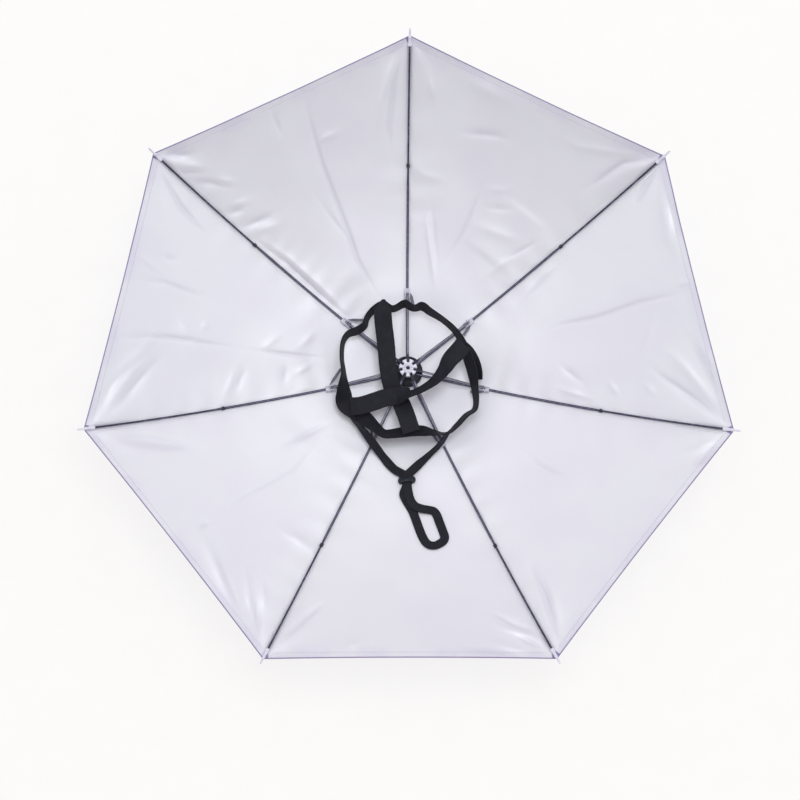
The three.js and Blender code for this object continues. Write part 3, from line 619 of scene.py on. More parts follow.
# Along a stitch. Columns: share of its length, height in mm.
stitch_arch = [(0, -0.25), (0.2, 0.1), (0.5, 0.2), (0.8, 0.1), (1, -0.25)]


def loft(rings, loop=False):
    """A body through rings of points. Its ends are closed, unless it closes on itself."""
    rings = np.asarray(rings, float)
    count, corners = rings.shape[:2]
    around = np.linalg.norm(np.diff(np.concatenate([rings, rings[:, :1]], 1), axis=1), axis=-1)
    around = np.concatenate([[0], np.cumsum(np.median(around, axis=0))]) * mm
    middles = rings.mean(axis=1)
    if loop:
        middles = np.concatenate([middles, middles[:1]])
    along = np.linalg.norm(np.diff(middles, axis=0), axis=-1)
    along = np.concatenate([[0], np.cumsum(along)]) * mm
    faces, flat = [], []
    for ring in range(count if loop else count - 1):
        after = (ring + 1) % count
        for corner in range(corners):
            beside = (corner + 1) % corners
            faces.append([
                ring * corners + corner,
                ring * corners + beside,
                after * corners + beside,
                after * corners + corner,
            ])
            flat += [(around[corner], along[ring]), (around[corner + 1], along[ring])]
            flat += [(around[corner + 1], along[ring + 1]), (around[corner], along[ring + 1])]
    if not loop:
        faces.append(list(range(corners)))
        faces.append([(count - 1) * corners + corner for corner in range(corners)])
        for end in (0, -1):
            flat += [(around[corner], along[end]) for corner in range(corners)]
    return rings.reshape(-1, 3), faces, np.array(flat)


def tube(line, radius, sides=8, face=(0, 0, 1), flatten=1):
    """Rings of a tube along a line. flatten: its height towards face as a share of its width."""
    line = np.asarray(line, float)
    ahead = np.gradient(line, axis=0)
    ahead = ahead / np.linalg.norm(ahead, axis=1)[:, None]
    side = np.cross(ahead, np.broadcast_to(face, line.shape))
    side = side / np.linalg.norm(side, axis=1)[:, None]
    up = np.cross(side, ahead)
    radius = np.broadcast_to(radius, len(line))[:, None, None]
    turn = np.linspace(0, 2 * math.pi, sides, endpoint=False)[None, :, None]
    return line[:, None] + radius * (
        np.cos(turn) * side[:, None] + flatten * np.sin(turn) * up[:, None]
    )


def thread_finish(name, colour):
    material, dye = new_finish(name)
    around, along = flat_map(dye)
    twist = (along + around * 0.7).wave(0.0006)
    shade = tuple(0.6 * part for part in colour[:3]) + (1,)
    apply_finish(material, {
        "Base Color": (twist * 0.5).mix(colour, shade),
        "Roughness": 0.7,
        "Normal": dye.node("Bump", None, {"Strength": 0.4, "Distance": 0.0001, "Height": twist}),
    })
    return material


hem_cloth = cloth_finish("hem_cloth", hem_colour, hem_deep, hem_deep, 0, 0.6, 0.0009)
lilac_thread = thread_finish("lilac_thread", thread_colour)
dark_thread = thread_finish("dark_thread", dark_thread_colour)


def stitches(start_points, end_points, lift):
    """Short threads that dip into the cloth at both ends, each from one point to another."""
    shares, heights = np.array(stitch_arch).T[:, :, None]
    bodies = []
    for start, end, up in zip(start_points, end_points, lift):
        line = start + (end - start) * shares + up * heights
        bodies.append(loft(tube(line, stitch_radius, 6, up)))
    return joined(bodies)


for panel in range(panel_count):
    across = np.linspace(hem_inset, 1 - hem_inset, hem_points)
    edge = np.ones_like(across)
    outer, _, _ = cloth_point(panel, across, edge, 0.5 * canopy_wall)
    roll = tube(outer, hem_roll_width / 2, 10, (0, 0, 1), hem_roll_height / hem_roll_width)
    piece = new_piece(f"hem_roll_{panel + 1}", loft(roll), hem_cloth)
    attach(piece, "root")

    stitch_count = int(panel_width / stitch_pitch) - stitches_left_out
    starts = (np.arange(stitch_count) + first_stitch) * stitch_pitch / panel_width
    ends = starts + stitch_length / panel_width
    row_out = np.full(stitch_count, 1 - hem_stitch_in / panel_length)
    seat = canopy_wall + stitch_seat
    first, _, _ = cloth_point(panel, starts, row_out, seat)
    last, _, _ = cloth_point(panel, ends, row_out, seat)
    raised, _, _ = cloth_point(panel, starts, row_out, seat + 1)
    body = stitches(first, last, raised - first)
    piece = new_piece(f"hem_stitches_{panel + 1}", body, lilac_thread)
    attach(piece, "root")

# Seam allowances. Where two panels are sewn together, both raw edges are turned back
# flat on the lining beside the rib, in the same silver cloth.
allowance_width = 5
allowance_thickness = 0.45
allowance_start = 0.06
allowance_end = 0.985
allowance_gap = 0.002
allowance_limit = 0.4
allowance_sink = 0.05
allowance_columns = 6
seam_points = 130

# How the cut edge of an allowance waves. Columns: mm, pace along the rib, step from
# rib to rib.
allowance_waves = [(0.35, 61, 1), (0.2, 140, 2)]

for rib in range(panel_count):
    bodies = []
    for panel, near in ((rib, 0), ((rib - 1) % panel_count, 1)):
        out = np.linspace(allowance_start, allowance_end, seam_points)
        half_width = canopy_radius * out * math.sin(half_panel)
        wobble = sum(wave * np.sin(out * pace + step * rib) for wave, pace, step in allowance_waves)
        inner = np.minimum((allowance_width + wobble) / (2 * half_width), allowance_limit)
        shares = np.linspace(0, 1, allowance_columns)[None, :]
        across = allowance_gap + inner[:, None] * shares
        across = 1 - across if near else across
        outs = np.broadcast_to(out[:, None], across.shape)
        lower, d, t = cloth_point(panel, across, outs, canopy_wall - allowance_sink)
        upper, _, _ = cloth_point(panel, across, outs, canopy_wall + allowance_thickness)
        flat = np.stack([t, d], -1) * mm
        bodies.append(sheet_body(lower, upper, flat, flat))
    piece = new_piece(f"seam_allowance_{rib + 1}", joined(bodies), silver_lining, sharp=60)
    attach(piece, "root")

# Outside seams. On the outside each join is covered by a narrow felled strip of the
# lavender cloth, sewn down by one row of lilac stitches.
felled_width = 3.4
felled_thickness = 0.32
felled_start = 0.03
felled_end = 0.992
felled_gap = 0.001
felled_limit = 0.3
felled_sink = 0.12
felled_edge = 0.6
felled_columns = 4
felled_map_shift = 0.3
felled_stitch_in = 1.1
felled_stitch_seat = 0.25

for rib in range(panel_count):
    out = np.linspace(felled_start, felled_end, seam_points)
    half_width = canopy_radius * out * math.sin(half_panel)
    half_strip = np.minimum(felled_width / (4 * half_width), felled_limit)
    lower_sides, upper_sides, flats = [], [], []
    for panel, near in (((rib - 1) % panel_count, 1), (rib, 0)):
        shares = np.linspace(near, 1 - near, felled_columns)
        across = felled_gap + half_strip[:, None] * shares[None, :]
        across = 1 - across if near else across
        outs = np.broadcast_to(out[:, None], across.shape)
        bulge = felled_thickness * (1 - felled_edge * shares[None, :] ** 2)
        lower, d, t = cloth_point(panel, across, outs, -bulge)
        upper, _, _ = cloth_point(panel, across, outs, felled_sink)
        lower_sides.append(lower)
        upper_sides.append(upper)
        flats.append(np.stack([t + rib * felled_map_shift, d], -1) * mm)
    lower = np.concatenate(lower_sides, axis=1)
    upper = np.concatenate(upper_sides, axis=1)
    flat = np.concatenate(flats, axis=1)
    body = sheet_body(lower, upper, flat, flat)
    piece = new_piece(f"outside_seam_{rib + 1}", body, lavender_cloth, sharp=60)
    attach(piece, "root")

    stitch_count = int((felled_end - felled_start) * panel_length / stitch_pitch) - 1
    starts = felled_start + (np.arange(stitch_count) + 0.5) * stitch_pitch / panel_length
    ends = starts + stitch_length / panel_length
    beside = felled_stitch_in / (2 * canopy_radius * math.sin(half_panel))
    first, _, _ = cloth_point(rib, beside / starts, starts, -felled_stitch_seat)
    last, _, _ = cloth_point(rib, beside / ends, ends, -felled_stitch_seat)
    raised, _, _ = cloth_point(rib, beside / starts, starts, -felled_stitch_seat - 1)
    body = stitches(first, last, raised - first)
    piece = new_piece(f"seam_stitches_{rib + 1}", body, lilac_thread)
    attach(piece, "root")

# Ribs. Seven sprung steel ribs, lacquered dark: a fluted channel as far as the thread
# tie, then a plain wire that runs on into the tip. The hub's notches hold them.
rib_radius = 1.5
channel_radius = 1.35
wire_radius = 1.05
flute_depth = 1.0
flute_half = 0.6
flute_end = 214
flute_fade = 12
rib_start_reach = 9.8
joint_reach = 90
tip_length = 22
tip_overhang = 10
tip_bore_depth = 8.5
clearance = 0.3
rib_lift_at_crown = canopy_wall + facet_rise + clearance + rib_radius
rib_lift_at_tip = 4.29
tip_mouth_angle = dome_angle - (tip_length - tip_overhang) / dome_radius
rib_start_angle = rib_start_reach / dome_radius
rib_end_angle = tip_mouth_angle + (tip_bore_depth - clearance) / dome_radius
rib_rings = 120
steel_dark = (0.045, 0.04, 0.078, 1)
steel_worn = (0.16, 0.145, 0.25, 1)
flute_dark = (0.2, 0.19, 0.28, 1)
flute_worn = (0.3, 0.285, 0.4, 1)


def rib_point(angle):
    """Middle of a rib along the X axis, at an angle round the dome's middle."""
    lift = rib_lift_at_crown + (rib_lift_at_tip - rib_lift_at_crown) * angle / dome_angle
    radius = dome_radius - lift
    height = canopy_floor + dome_radius - radius * np.cos(angle)
    return np.stack([radius * np.sin(angle), 0 * angle, height], axis=-1)


def rib_axes(angle):
    """Outwards along a rib, and up off the cloth, at an angle round the dome's middle."""
    ahead = np.stack([np.cos(angle), 0 * angle, np.sin(angle)], axis=-1)
    up = np.stack([-np.sin(angle), 0 * angle, np.cos(angle)], axis=-1)
    return ahead, up


def rib_turn(rib):
    return math.pi / 2 - rib * panel_pitch


def at_rib(body, rib):
    """A body that was made along the X axis, turned to a rib."""
    points, faces, flat = body
    return turned(points, rib_turn(rib)), faces, flat


def metal_finish(name, colour, worn, roughness, metal=0.75):
    material, dye = new_finish(name)
    rub = speckle(dye, 220, 4).rise(0.45, 0.7)
    streak = speckle(dye, 1400, 1)
    apply_finish(material, {
        "Base Color": (rub * 0.7).mix(colour, worn),
        "Metallic": metal,
        "Roughness": roughness + rub * 0.15,
        "Normal": dye.node("Bump", None, {"Strength": 0.15, "Distance": 0.0001, "Height": streak}),
    })
    return material


dark_steel = metal_finish("dark_steel", steel_dark, steel_worn, 0.42, 0.4)
flute_steel = metal_finish("flute_steel", flute_dark, flute_worn, 0.4, 0.5)

angles = np.linspace(rib_start_angle, rib_end_angle, rib_rings)
reach = dome_radius * angles
slender = smooth_step(flute_end, flute_end + flute_fade, reach)
radii = channel_radius + (wire_radius - channel_radius) * slender
turns = np.linspace(0, 2 * math.pi, 24, endpoint=False)
middles = rib_point(angles)
_, ups = rib_axes(angles)
sides = radii[:, None] * np.sin(turns)
heights = radii[:, None] * np.cos(turns)
flute = flute_depth * (1 - slender)[:, None] * np.exp(-((sides / flute_half) ** 4))
heights = np.where(np.cos(turns) > 0.2, heights - flute, heights)
rib_ring_points = middles[:, None] + heights[..., None] * ups[:, None]
rib_ring_points[..., 1] += sides
rib_body = loft(rib_ring_points)
fluted = int(np.count_nonzero(slender < 0.5)) * len(turns)
for rib in range(panel_count):
    piece = new_piece(f"steel_rib_{rib + 1}", at_rib(rib_body, rib), dark_steel, flute_steel)
    places = np.arange(len(piece.data.polygons))
    floor_faces = np.isin(places % len(turns), (0, len(turns) - 1)) & (places < fluted)
    piece.data.polygons.foreach_set("material_index", floor_faces.astype(int))
    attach(piece, "root")
    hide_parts(f"rib_{rib + 1}")

# Thread ties. Each rib is held to its seam by a few turns of dark thread, about two
# thirds of the way out, pulled down into the cloth.
tie_reaches = [236, 227, 227, 228, 227, 217, 227]
tie_turns = 5
tie_pitch = 0.7
tie_thread = 0.36
tie_slant = 0.5
tie_drop = 1.25
for rib, tie_reach in enumerate(tie_reaches):
    bodies = []
    for wrap in range(tie_turns):
        angle = (tie_reach + (wrap - tie_turns / 2) * tie_pitch) / dome_radius
        middle = rib_point(np.array(angle))
        ahead, up = rib_axes(np.array(angle))
        around = np.linspace(0, 2 * math.pi, 17)[:-1]
        slant = tie_slant * math.sin(2.1 * wrap + rib)
        wide = channel_radius + tie_thread
        drop = np.where(np.cos(around) < 0, tie_drop, 1)
        ring = middle + (np.cos(around) * wide * drop)[:, None] * up
        ring = ring + (slant * np.sin(around))[:, None] * ahead
        ring[:, 1] += np.sin(around) * wide
        rings = []
        for place, turn in zip(ring, around):
            outward = math.cos(turn) * up + math.sin(turn) * np.array([0, 1, 0])
            spin = np.linspace(0, 2 * math.pi, 8, endpoint=False)[:, None]
            rings.append(place + tie_thread * (np.cos(spin) * outward + np.sin(spin) * ahead))
        bodies.append(loft(rings, loop=True))
    piece = new_piece(f"thread_tie_{rib + 1}", at_rib(joined(bodies), rib), dark_thread)
    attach(piece, "root")

# Rib tips. White moulded ends pushed on the wires and sewn into the canopy's corners:
# a flared mouth, a neck, and a thin pin that stands out past the cloth. Columns of the
# profile: distance along the tip, radius.
tip_profile = [
    (8.5, 0.02), (8.5, 1.75), (2, 1.9), (1.8, 2.1), (1.8, 2.3), (2.05, 2.42), (3.4, 2.42),
    (3.8, 2.28), (4.4, 2.1), (6.2, 1.9), (8.8, 1.7), (10.6, 1.58), (11, 1.75), (11.5, 1.8),
    (12, 1.75), (12.4, 1.55), (13, 1.3), (16, 1.2), (20, 1.08), (21.2, 0.95), (21.8, 0.6),
    (22, 0.02),
]
plastic_white = (0.77, 0.76, 0.85, 1)
plastic_shade = (0.6, 0.58, 0.74, 1)


def plastic_finish(name, colour, shade, roughness, shine=0.5):
    material, dye = new_finish(name)
    cloud = speckle(dye, 160, 3).rise(0.4, 0.7)
    grain = speckle(dye, 2600, 2)
    apply_finish(material, {
        "Base Color": (cloud * 0.6).mix(colour, shade),
        "Roughness": roughness + cloud * 0.12,
        "Specular IOR Level": shine,
        "Normal": dye.node("Bump", None, {"Strength": 0.12, "Distance": 0.00008, "Height": grain}),
    })
    return material


white_plastic = plastic_finish("white_plastic", plastic_white, plastic_shade, 0.36)
tip_mouth = rib_point(np.array(tip_mouth_angle))
tip_ahead, tip_up = rib_axes(np.array(tip_mouth_angle))


def spun(profile, start, ahead, up, corners=20):
    """Rings turned about a line, from rows of distance along it and radius."""
    side = np.cross(ahead, up)
    spin = np.linspace(0, 2 * math.pi, corners, endpoint=False)[:, None]
    circle = np.cos(spin) * side + np.sin(spin) * up
    return np.array([start + along * ahead + radius * circle for along, radius in profile])


tip_body = loft(spun(tip_profile, tip_mouth, tip_ahead, tip_up))
for rib in range(panel_count):
    piece = new_piece(f"moulded_tip_{rib + 1}", at_rib(tip_body, rib), white_plastic)
    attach(piece, "root")
    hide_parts(f"rib_tip_{rib + 1}")

# Corner folds. Beside the tips the canopy's corner is turned over and oversewn, so a
# small fold of the lavender cloth shows on the lining. Columns: rib, side, length.
corner_rows = [
    (0, 1, 5), (1, 1, 4.5), (2, 0, 5), (2, 1, 5), (3, 0, 4.5), (3, 1, 6), (4, 1, 5), (5, 0, 4.5),
    (6, 1, 4.5),
]
fold_inset = 0.001
fold_root = 0.6
fold_spread = 0.55
fold_sink = 0.1
fold_rise = 0.35
fold_puff = 0.9
fold_grid = np.linspace(0, 1, 9)
sewn_corners = [[] for panel in range(panel_count)]
for rib, before, length in corner_rows:
    panel = (rib - 1) % panel_count if before else rib
    shares, depths = np.meshgrid(fold_grid, fold_grid, indexing="ij")
    out = 1 - fold_inset - (length * (1 - shares)) / panel_length
    across = hem_inset + (fold_root + fold_spread * length * shares) * depths / panel_width
    across = 1 - across if before else across
    lower, d, t = cloth_point(panel, across, out, canopy_wall - fold_sink)
    puff = fold_puff * np.sin(math.pi * (depths * 0.9 + 0.05))
    puff = puff * np.sin(math.pi * shares * 0.9 + 0.1)
    upper, _, _ = cloth_point(panel, across, out, canopy_wall + fold_rise + puff)
    flat = np.stack([t, d], -1) * mm
    piece = new_piece(
        f"corner_fold_{rib + 1}_{'left' if before else 'right'}",
        sheet_body(lower, upper, flat, flat),
        hem_cloth,
    )
    sewn_corners[panel].append(piece)
    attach(piece, "root")

# Rib joints. Pale moulded clips pressed over the ribs, with a fork above that holds
# the stretcher's end on a small pin.
joint_length = 12
joint_inner_half = 1.95
joint_outer_half = 3.05
joint_low = -0.85
joint_web_floor = 1.95
joint_web_top = 3.05
joint_top = 6.55
pin_radius = 0.75
pin_head_radius = 1.25
pin_rise = 1.45
joint_outline = [
    (-joint_outer_half, joint_low), (-joint_inner_half, joint_low),
    (-joint_inner_half, joint_web_floor), (joint_inner_half, joint_web_floor),
    (joint_inner_half, joint_low), (joint_outer_half, joint_low),
    (joint_outer_half, joint_top), (joint_inner_half, joint_top),
    (joint_inner_half, joint_web_top), (-joint_inner_half, joint_web_top),
    (-joint_inner_half, joint_top), (-joint_outer_half, joint_top),
]
joint_ramp_drop = 1.6
joint_ramp_start = 3
joint_rounding = 0.3
plastic_pale = (0.72, 0.71, 0.8, 1)
plastic_clear = (0.6, 0.58, 0.72, 1)
steel_grey = (0.42, 0.41, 0.5, 1)
steel_dull = (0.3, 0.29, 0.38, 1)
pale_plastic = plastic_finish("pale_plastic", plastic_pale, plastic_clear, 0.3)
grey_steel = metal_finish("grey_steel", steel_grey, steel_dull, 0.3, 0.8)

joint_angle = np.array(joint_reach / dome_radius)
joint_seat = rib_point(joint_angle)
joint_ahead, joint_up = rib_axes(joint_angle)
across_rib = np.array([0, 1, 0])

# Columns: distance along the clip, how far its flanks are drawn in.
joint_stations = [(-6, 0.25), (-5.7, 0), (-4, 0), (4, 0), (5.7, 0), (6, 0.25)]
joint_rings = []
for along, shrink in joint_stations:
    past_ramp = max(0, abs(along) - joint_ramp_start) / joint_ramp_start
    ring = []
    for side, height in joint_outline:
        if abs(side) == joint_outer_half:
            side = side - shrink * math.copysign(1, side)
        if height == joint_top:
            height = height - joint_ramp_drop * past_ramp
        ring.append(joint_seat + along * joint_ahead + side * across_rib + height * joint_up)
    joint_rings.append(ring)
pin_middle = joint_seat + (joint_web_top + pin_rise) * joint_up
pin_profile = [
    (-3.6, 0.02), (-3.6, pin_head_radius * 0.7), (-3.35, pin_head_radius), (-3.05, pin_head_radius),
    (-3.0, pin_radius), (3.0, pin_radius), (3.05, pin_head_radius), (3.35, pin_head_radius),
    (3.6, pin_head_radius * 0.7), (3.6, 0.02),
]
joint_body = loft(joint_rings)
pin_body = loft(spun(pin_profile, pin_middle, across_rib, joint_up, 16))
for rib in range(panel_count):
    piece = new_piece(f"joint_clip_{rib + 1}", at_rib(joint_body, rib), pale_plastic)
    rounding = piece.modifiers.new("rounded", "BEVEL")
    rounding.width = joint_rounding * mm
    rounding.segments = 3
    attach(piece, "root")
    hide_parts(f"rib_joint_{rib + 1}")
    piece = new_piece(f"joint_pin_{rib + 1}", at_rib(pin_body, rib), grey_steel)
    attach(piece, "root")

# Stretchers. Thin steel channels, open side up, from the runner to the rib joints,
# with rolled lips that have darkened and floors that stay bright. Their ends at the
# runner are painted dark: painted shade.
stretcher_width = 2.4
stretcher_depth = 2.2
stretcher_wall = 0.45
channel_corner = 0.5
channel_bevel = 0.15
channel_fillet = 0.3
channel_lip_round = 0.1
stretcher_overrun = 1.5
stretcher_steps = 40
stretcher_pinch = 0.3
pinch_reach = 7
stretcher_bow = 0.25
stretcher_bright = (0.54, 0.53, 0.63, 1)
stretcher_dull = (0.36, 0.35, 0.44, 1)
stretcher_painted_shade = (0.03, 0.03, 0.05, 1)
lip_dark = (0.11, 0.106, 0.155, 1)
lip_worn = (0.2, 0.194, 0.26, 1)
stretcher_head = np.array([7.4, 0, 41])
stretcher_foot = joint_seat + (joint_web_top + clearance + stretcher_depth / 2) * joint_up


def channel_outline(width, depth, wall):
    """Round the outside of a channel and back along its inside."""
    half = width / 2
    low = -depth / 2
    high = depth / 2
    lip = half - wall
    floor = low + wall
    outer = [(-half, high - channel_bevel), (-half, low + channel_corner)]
    outer += [(-half + channel_bevel, low + channel_bevel), (-half + channel_corner, low)]
    outer += [(-x, z) for x, z in outer[::-1]]
    inner = [(half - channel_lip_round, high), (lip + channel_lip_round, high)]
    inner += [(lip, high - channel_bevel), (lip, floor + channel_fillet)]
    inner += [(lip - channel_fillet, floor)]
    inner += [(-x, z) for x, z in inner[::-1]]
    return outer + inner


channel_material, dye = new_finish("stretcher_steel")
_, along = flat_map(dye)
streaks = speckle(dye, 500, 3)
# Painted shade: the channel turns dark towards the runner, where the runner shades it.
near_runner = 1 - along.rise(7 * mm, 13 * mm)
bright_floor = streaks.rise(0.35, 0.7).mix(stretcher_bright, stretcher_dull)
apply_finish(channel_material, {
    "Base Color": near_runner.mix(bright_floor, stretcher_painted_shade),
    "Metallic": 0.4,
    "Roughness": 0.4 + streaks * 0.15,
    "Normal": dye.node("Bump", None, {"Strength": 0.2, "Distance": 0.0001, "Height": streaks}),
})
lip_material = metal_finish("dark_lip", lip_dark, lip_worn, 0.45, 0.4)

run = stretcher_foot - stretcher_head
run_length = np.linalg.norm(run)
run_ahead = run / run_length
run_up = np.cross(run_ahead, across_rib)
run_up = run_up * math.copysign(1, run_up[2])
stretcher_rings = []
channel_length = run_length + stretcher_overrun
for along in np.linspace(0, channel_length, stretcher_steps):
    ends = min(along, channel_length - along)
    pinch = 1 - stretcher_pinch * (1 - float(smooth_step(0, pinch_reach, ends)))
    outline = channel_outline(stretcher_width * pinch, stretcher_depth, stretcher_wall)
    bow = stretcher_bow * math.sin(math.pi * along / run_length)
    start = stretcher_head + along * run_ahead + bow * run_up
    ring = [start + side * across_rib + height * run_up for side, height in outline]
    stretcher_rings.append(ring)
stretcher_body = loft(stretcher_rings)
lip_faces = (0, 1, 6, 7, 8, 9, 10, 14, 15, 16, 17)
for rib in range(panel_count):
    body = at_rib(stretcher_body, rib)
    piece = new_piece(f"steel_stretcher_{rib + 1}", body, channel_material, lip_material)
    places = np.arange(len(piece.data.polygons)) % len(stretcher_rings[0])
    piece.data.polygons.foreach_set("material_index", np.isin(places, lip_faces).astype(int))
    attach(piece, "root")
    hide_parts(f"stretcher_{rib + 1}")

# Notch hub and runner. Two moulded discs with a notch for each rib: the black one holds
# the ribs at the crown, and the white one slides on the shaft and holds the stretchers.
# Columns of the levels: height, how far the edge is drawn in.
hub_radius = 17.5
hub_notch_depth = 6.5
hub_notch_half = 1.6
hub_bore = 4.3
hub_levels = [(6.13, 1.4), (6.6, 0.5), (7.6, 0.1), (9.2, 0), (9.5, 0.7), (10.7, 0.7), (11, 0)]
hub_levels += [(12.9, 0.1), (13.7, 0.5), (14.1, 1.4)]
runner_radius = 10
runner_notch_depth = 3.6
runner_notch_half = 1.6
runner_bore = 4.15
runner_levels = [(37, 0.7), (37.2, 0.3), (37.8, 0), (43.8, 0), (44.6, 0.25), (45, 0.8)]
notch_flare = 0.05
notch_dip = 0.02
notch_rounding = 0.5
notch_full_rounding = 7
notch_corner = 0.4
notch_floor_share = 0.7
rim_points = 9
collar_half = 1.6
collar_bevel = 0.15
collar_sink = 0.25
collar_round = 0.2
hub_collar = 0.6
runner_collar = 0.3
bore_flare = 0.3
black_colour = (0.008, 0.009, 0.018, 1)
black_shade = (0.016, 0.018, 0.034, 1)


def notched_ring(radius, depth, half, inset, height):
    """One ring of points round a disc with a notch at each rib."""
    edge = radius - inset
    floor = radius - depth - inset / 2
    mouth = edge - notch_rounding * min(1, notch_full_rounding / radius)
    rim = math.asin((half + inset / 2) / edge)
    bottom = math.asin(half / floor)
    notch = [(rim + notch_flare, edge - notch_dip), (rim, mouth)]
    notch += [(bottom, floor + notch_corner), (bottom * notch_floor_share, floor)]
    notch += [(-angle, reach) for angle, reach in notch[::-1]]
    rim_span = panel_pitch - 2 * rim - 2 * notch_flare
    for share in np.linspace(0, 1, rim_points + 2)[1:-1]:
        notch.append((-rim - notch_flare - share * rim_span, edge))
    ring = []
    for rib in range(panel_count):
        for angle, reach in notch:
            turn = rib_turn(rib) + angle
            ring.append((reach * math.cos(turn), reach * math.sin(turn), height))
    return np.array(ring)


def notched_body(radius, depth, half, levels, bore, collar):
    """A notched disc with a bore, and a low collar round the bore on its upper face."""
    rings = [notched_ring(radius, depth, half, inset, height) for height, inset in levels]
    edge = rings[-1]
    plan = edge[:, :2] / np.linalg.norm(edge[:, :2], axis=1)[:, None]
    low = levels[0][0]
    top = levels[-1][0] + collar
    collar_edge = bore + collar_half
    inner = [(collar_edge, top - collar - collar_sink), (collar_edge - collar_bevel, top)]
    inner += [(bore + collar_round, top), (bore, top - collar_round)]
    inner += [(bore, low), (bore + bore_flare, low)]
    for reach, height in inner:
        rings.append(np.column_stack([plan * reach, np.full(len(plan), height)]))
    return loft(rings, loop=True)


black_plastic = plastic_finish("black_plastic", black_colour, black_shade, 0.42, 0.3)
hub_body = notched_body(
    hub_radius, hub_notch_depth, hub_notch_half, hub_levels, hub_bore, hub_collar
)
piece = new_piece("hub_disc", hub_body, black_plastic)
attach(piece, "root")
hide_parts("notch_hub")
runner_body = notched_body(
    runner_radius, runner_notch_depth, runner_notch_half, runner_levels, runner_bore, runner_collar
)
piece = new_piece("runner_disc", runner_body, white_plastic)
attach(piece, "root")
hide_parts("runner")

# Shaft and crown cap. A short white tube that the runner sits on, and the button
# outside the crown, which has a flat face with two moulded rings. Columns of the
# profiles: height, radius.
upright = np.array([0, 0, 1])
sideways = np.array([1, 0, 0])
shaft_profile = [
    (4.35, 2.6), (4.35, 3.8), (4.6, 4), (44.8, 4), (45.2, 3.85), (45.35, 3.6), (45.35, 2.7),
    (45.1, 2.4), (44.6, 2.3), (4.6, 2.3),
]
cap_profile = [
    (0.25, 0.02), (0.25, 3.4), (0, 3.9), (0, 5.6), (0.45, 6), (0.45, 6.5), (0, 6.9), (0, 10.8),
    (0.4, 11.2), (0.4, 11.6), (0.05, 12), (0.1, 12.7), (0.7, 13.5), (1.5, 13.95), (2.5, 13.95),
    (3.2, 13.5), (3.8, 12.7), (4, 12), (4, 0.02),
]
middle = np.zeros(3)
shaft_body = loft(spun(shaft_profile, middle, upright, sideways, 32), loop=True)
piece = new_piece("shaft_tube", shaft_body, white_plastic)
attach(piece, "root")
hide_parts("shaft")
cap_body = loft(spun(cap_profile, middle, upright, sideways, 64))
piece = new_piece("cap_button", cap_body, white_plastic)
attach(piece, "root")
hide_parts("crown_cap")

# Head band. A closed loop of wide black elastic that stands on its edge on the
# stretchers, waving in and out where nothing fills it.
band_radius = 75
band_width = 20
webbing_thickness = 1.2
stretcher_fall = math.atan2(-run[2], run[0])
joint_top_height = float(
    joint_seat[2] + joint_top * math.cos(joint_angle) + joint_length / 2 * math.sin(joint_angle)
)
webbing_black = (0.005, 0.005, 0.0085, 1)
webbing_dusty = (0.017, 0.018, 0.034, 1)
gather_depth = 0.006
gather_pace = 2.4
least_span = 1e-4
nudge = 1e-4
fold_share = 0.15

# Columns: degrees round the hat, share of band_radius, degrees from lying flat to
# standing on edge, and rise as a share of band_width.
band_rows = [
    (111, 1.03, 72, 0), (103.5, 0.93, 80, 0), (92.5, 0.985, 76, 0), (84.5, 0.92, 80, 0),
    (77.5, 0.97, 74, 0), (69, 0.925, 77, 0), (54, 0.905, 82, 0), (38, 0.91, 80, 0),
    (24, 0.905, 73, 0), (9.5, 0.915, 66, 0), (-5, 0.975, 66, 0), (-17, 1.05, 74, 0),
    (-26.5, 1.14, 77, 0), (-31.5, 1.165, 75, 0), (-38, 1.115, 74, 0), (-48, 1.115, 74, 0),
    (-58.5, 1.13, 79, 0), (-67, 1.04, 70, 0), (-76, 0.96, 55, 0), (-87, 0.935, 53, 0),
    (-99, 0.975, 57, 0), (-110, 1.035, 60, 0), (-119, 1, 54, 0), (-130, 0.98, 36, 0.02),
    (-140, 1, 16, 0.05), (-151, 1.065, 14, 0.05), (-162, 1.01, 50, 0.02), (-176.5, 0.96, 78, 0),
    (-189.5, 1, 80, 0), (-203, 1.05, 80, 0), (-210, 1.035, 78, 0), (-217, 0.95, 75, 0),
    (-225.5, 0.92, 76, 0), (-232, 0.985, 78, 0), (-241, 1.03, 76, 0),
]


def curve_point(rows, closed, share):
    """A point of the smooth curve through the rows' points, at a share of their count."""
    count = len(rows)
    place = (count if closed else count - 1) * share
    index = int(math.floor(place))
    weight = place - index
    if not closed and index == count - 1:
        index, weight = count - 2, 1
    if closed:
        four = [rows[(index + step) % count] for step in (-1, 0, 1, 2)]
    else:
        before = rows[index - 1] if index > 0 else 2 * rows[0] - rows[1]
        after = rows[index + 2] if index + 2 < count else 2 * rows[-1] - rows[-2]
        four = [before, rows[index], rows[index + 1], after]
    spans = [np.linalg.norm(b - a) ** 0.5 for a, b in zip(four, four[1:])]
    middle = spans[1] if spans[1] > least_span else 1
    first = spans[0] if spans[0] > least_span else middle
    last = spans[2] if spans[2] > least_span else middle
    a, b, c, d = four
    slope_b = ((b - a) / first - (c - a) / (first + middle) + (c - b) / middle) * middle
    slope_c = ((c - b) / middle - (d - b) / (middle + last) + (d - c) / last) * middle
    square = -3 * b + 3 * c - 2 * slope_b - slope_c
    cube = 2 * b - 2 * c + slope_b + slope_c
    return b + slope_b * weight + square * weight**2 + cube * weight**3


def stretcher_top(reach):
    """Top of the stretchers, taken as a cone, at a distance from the middle."""
    fall = (min(reach, joint_reach) - stretcher_head[0]) * math.tan(stretcher_fall)
    return stretcher_head[2] - fall + stretcher_depth / 2 / math.cos(stretcher_fall)


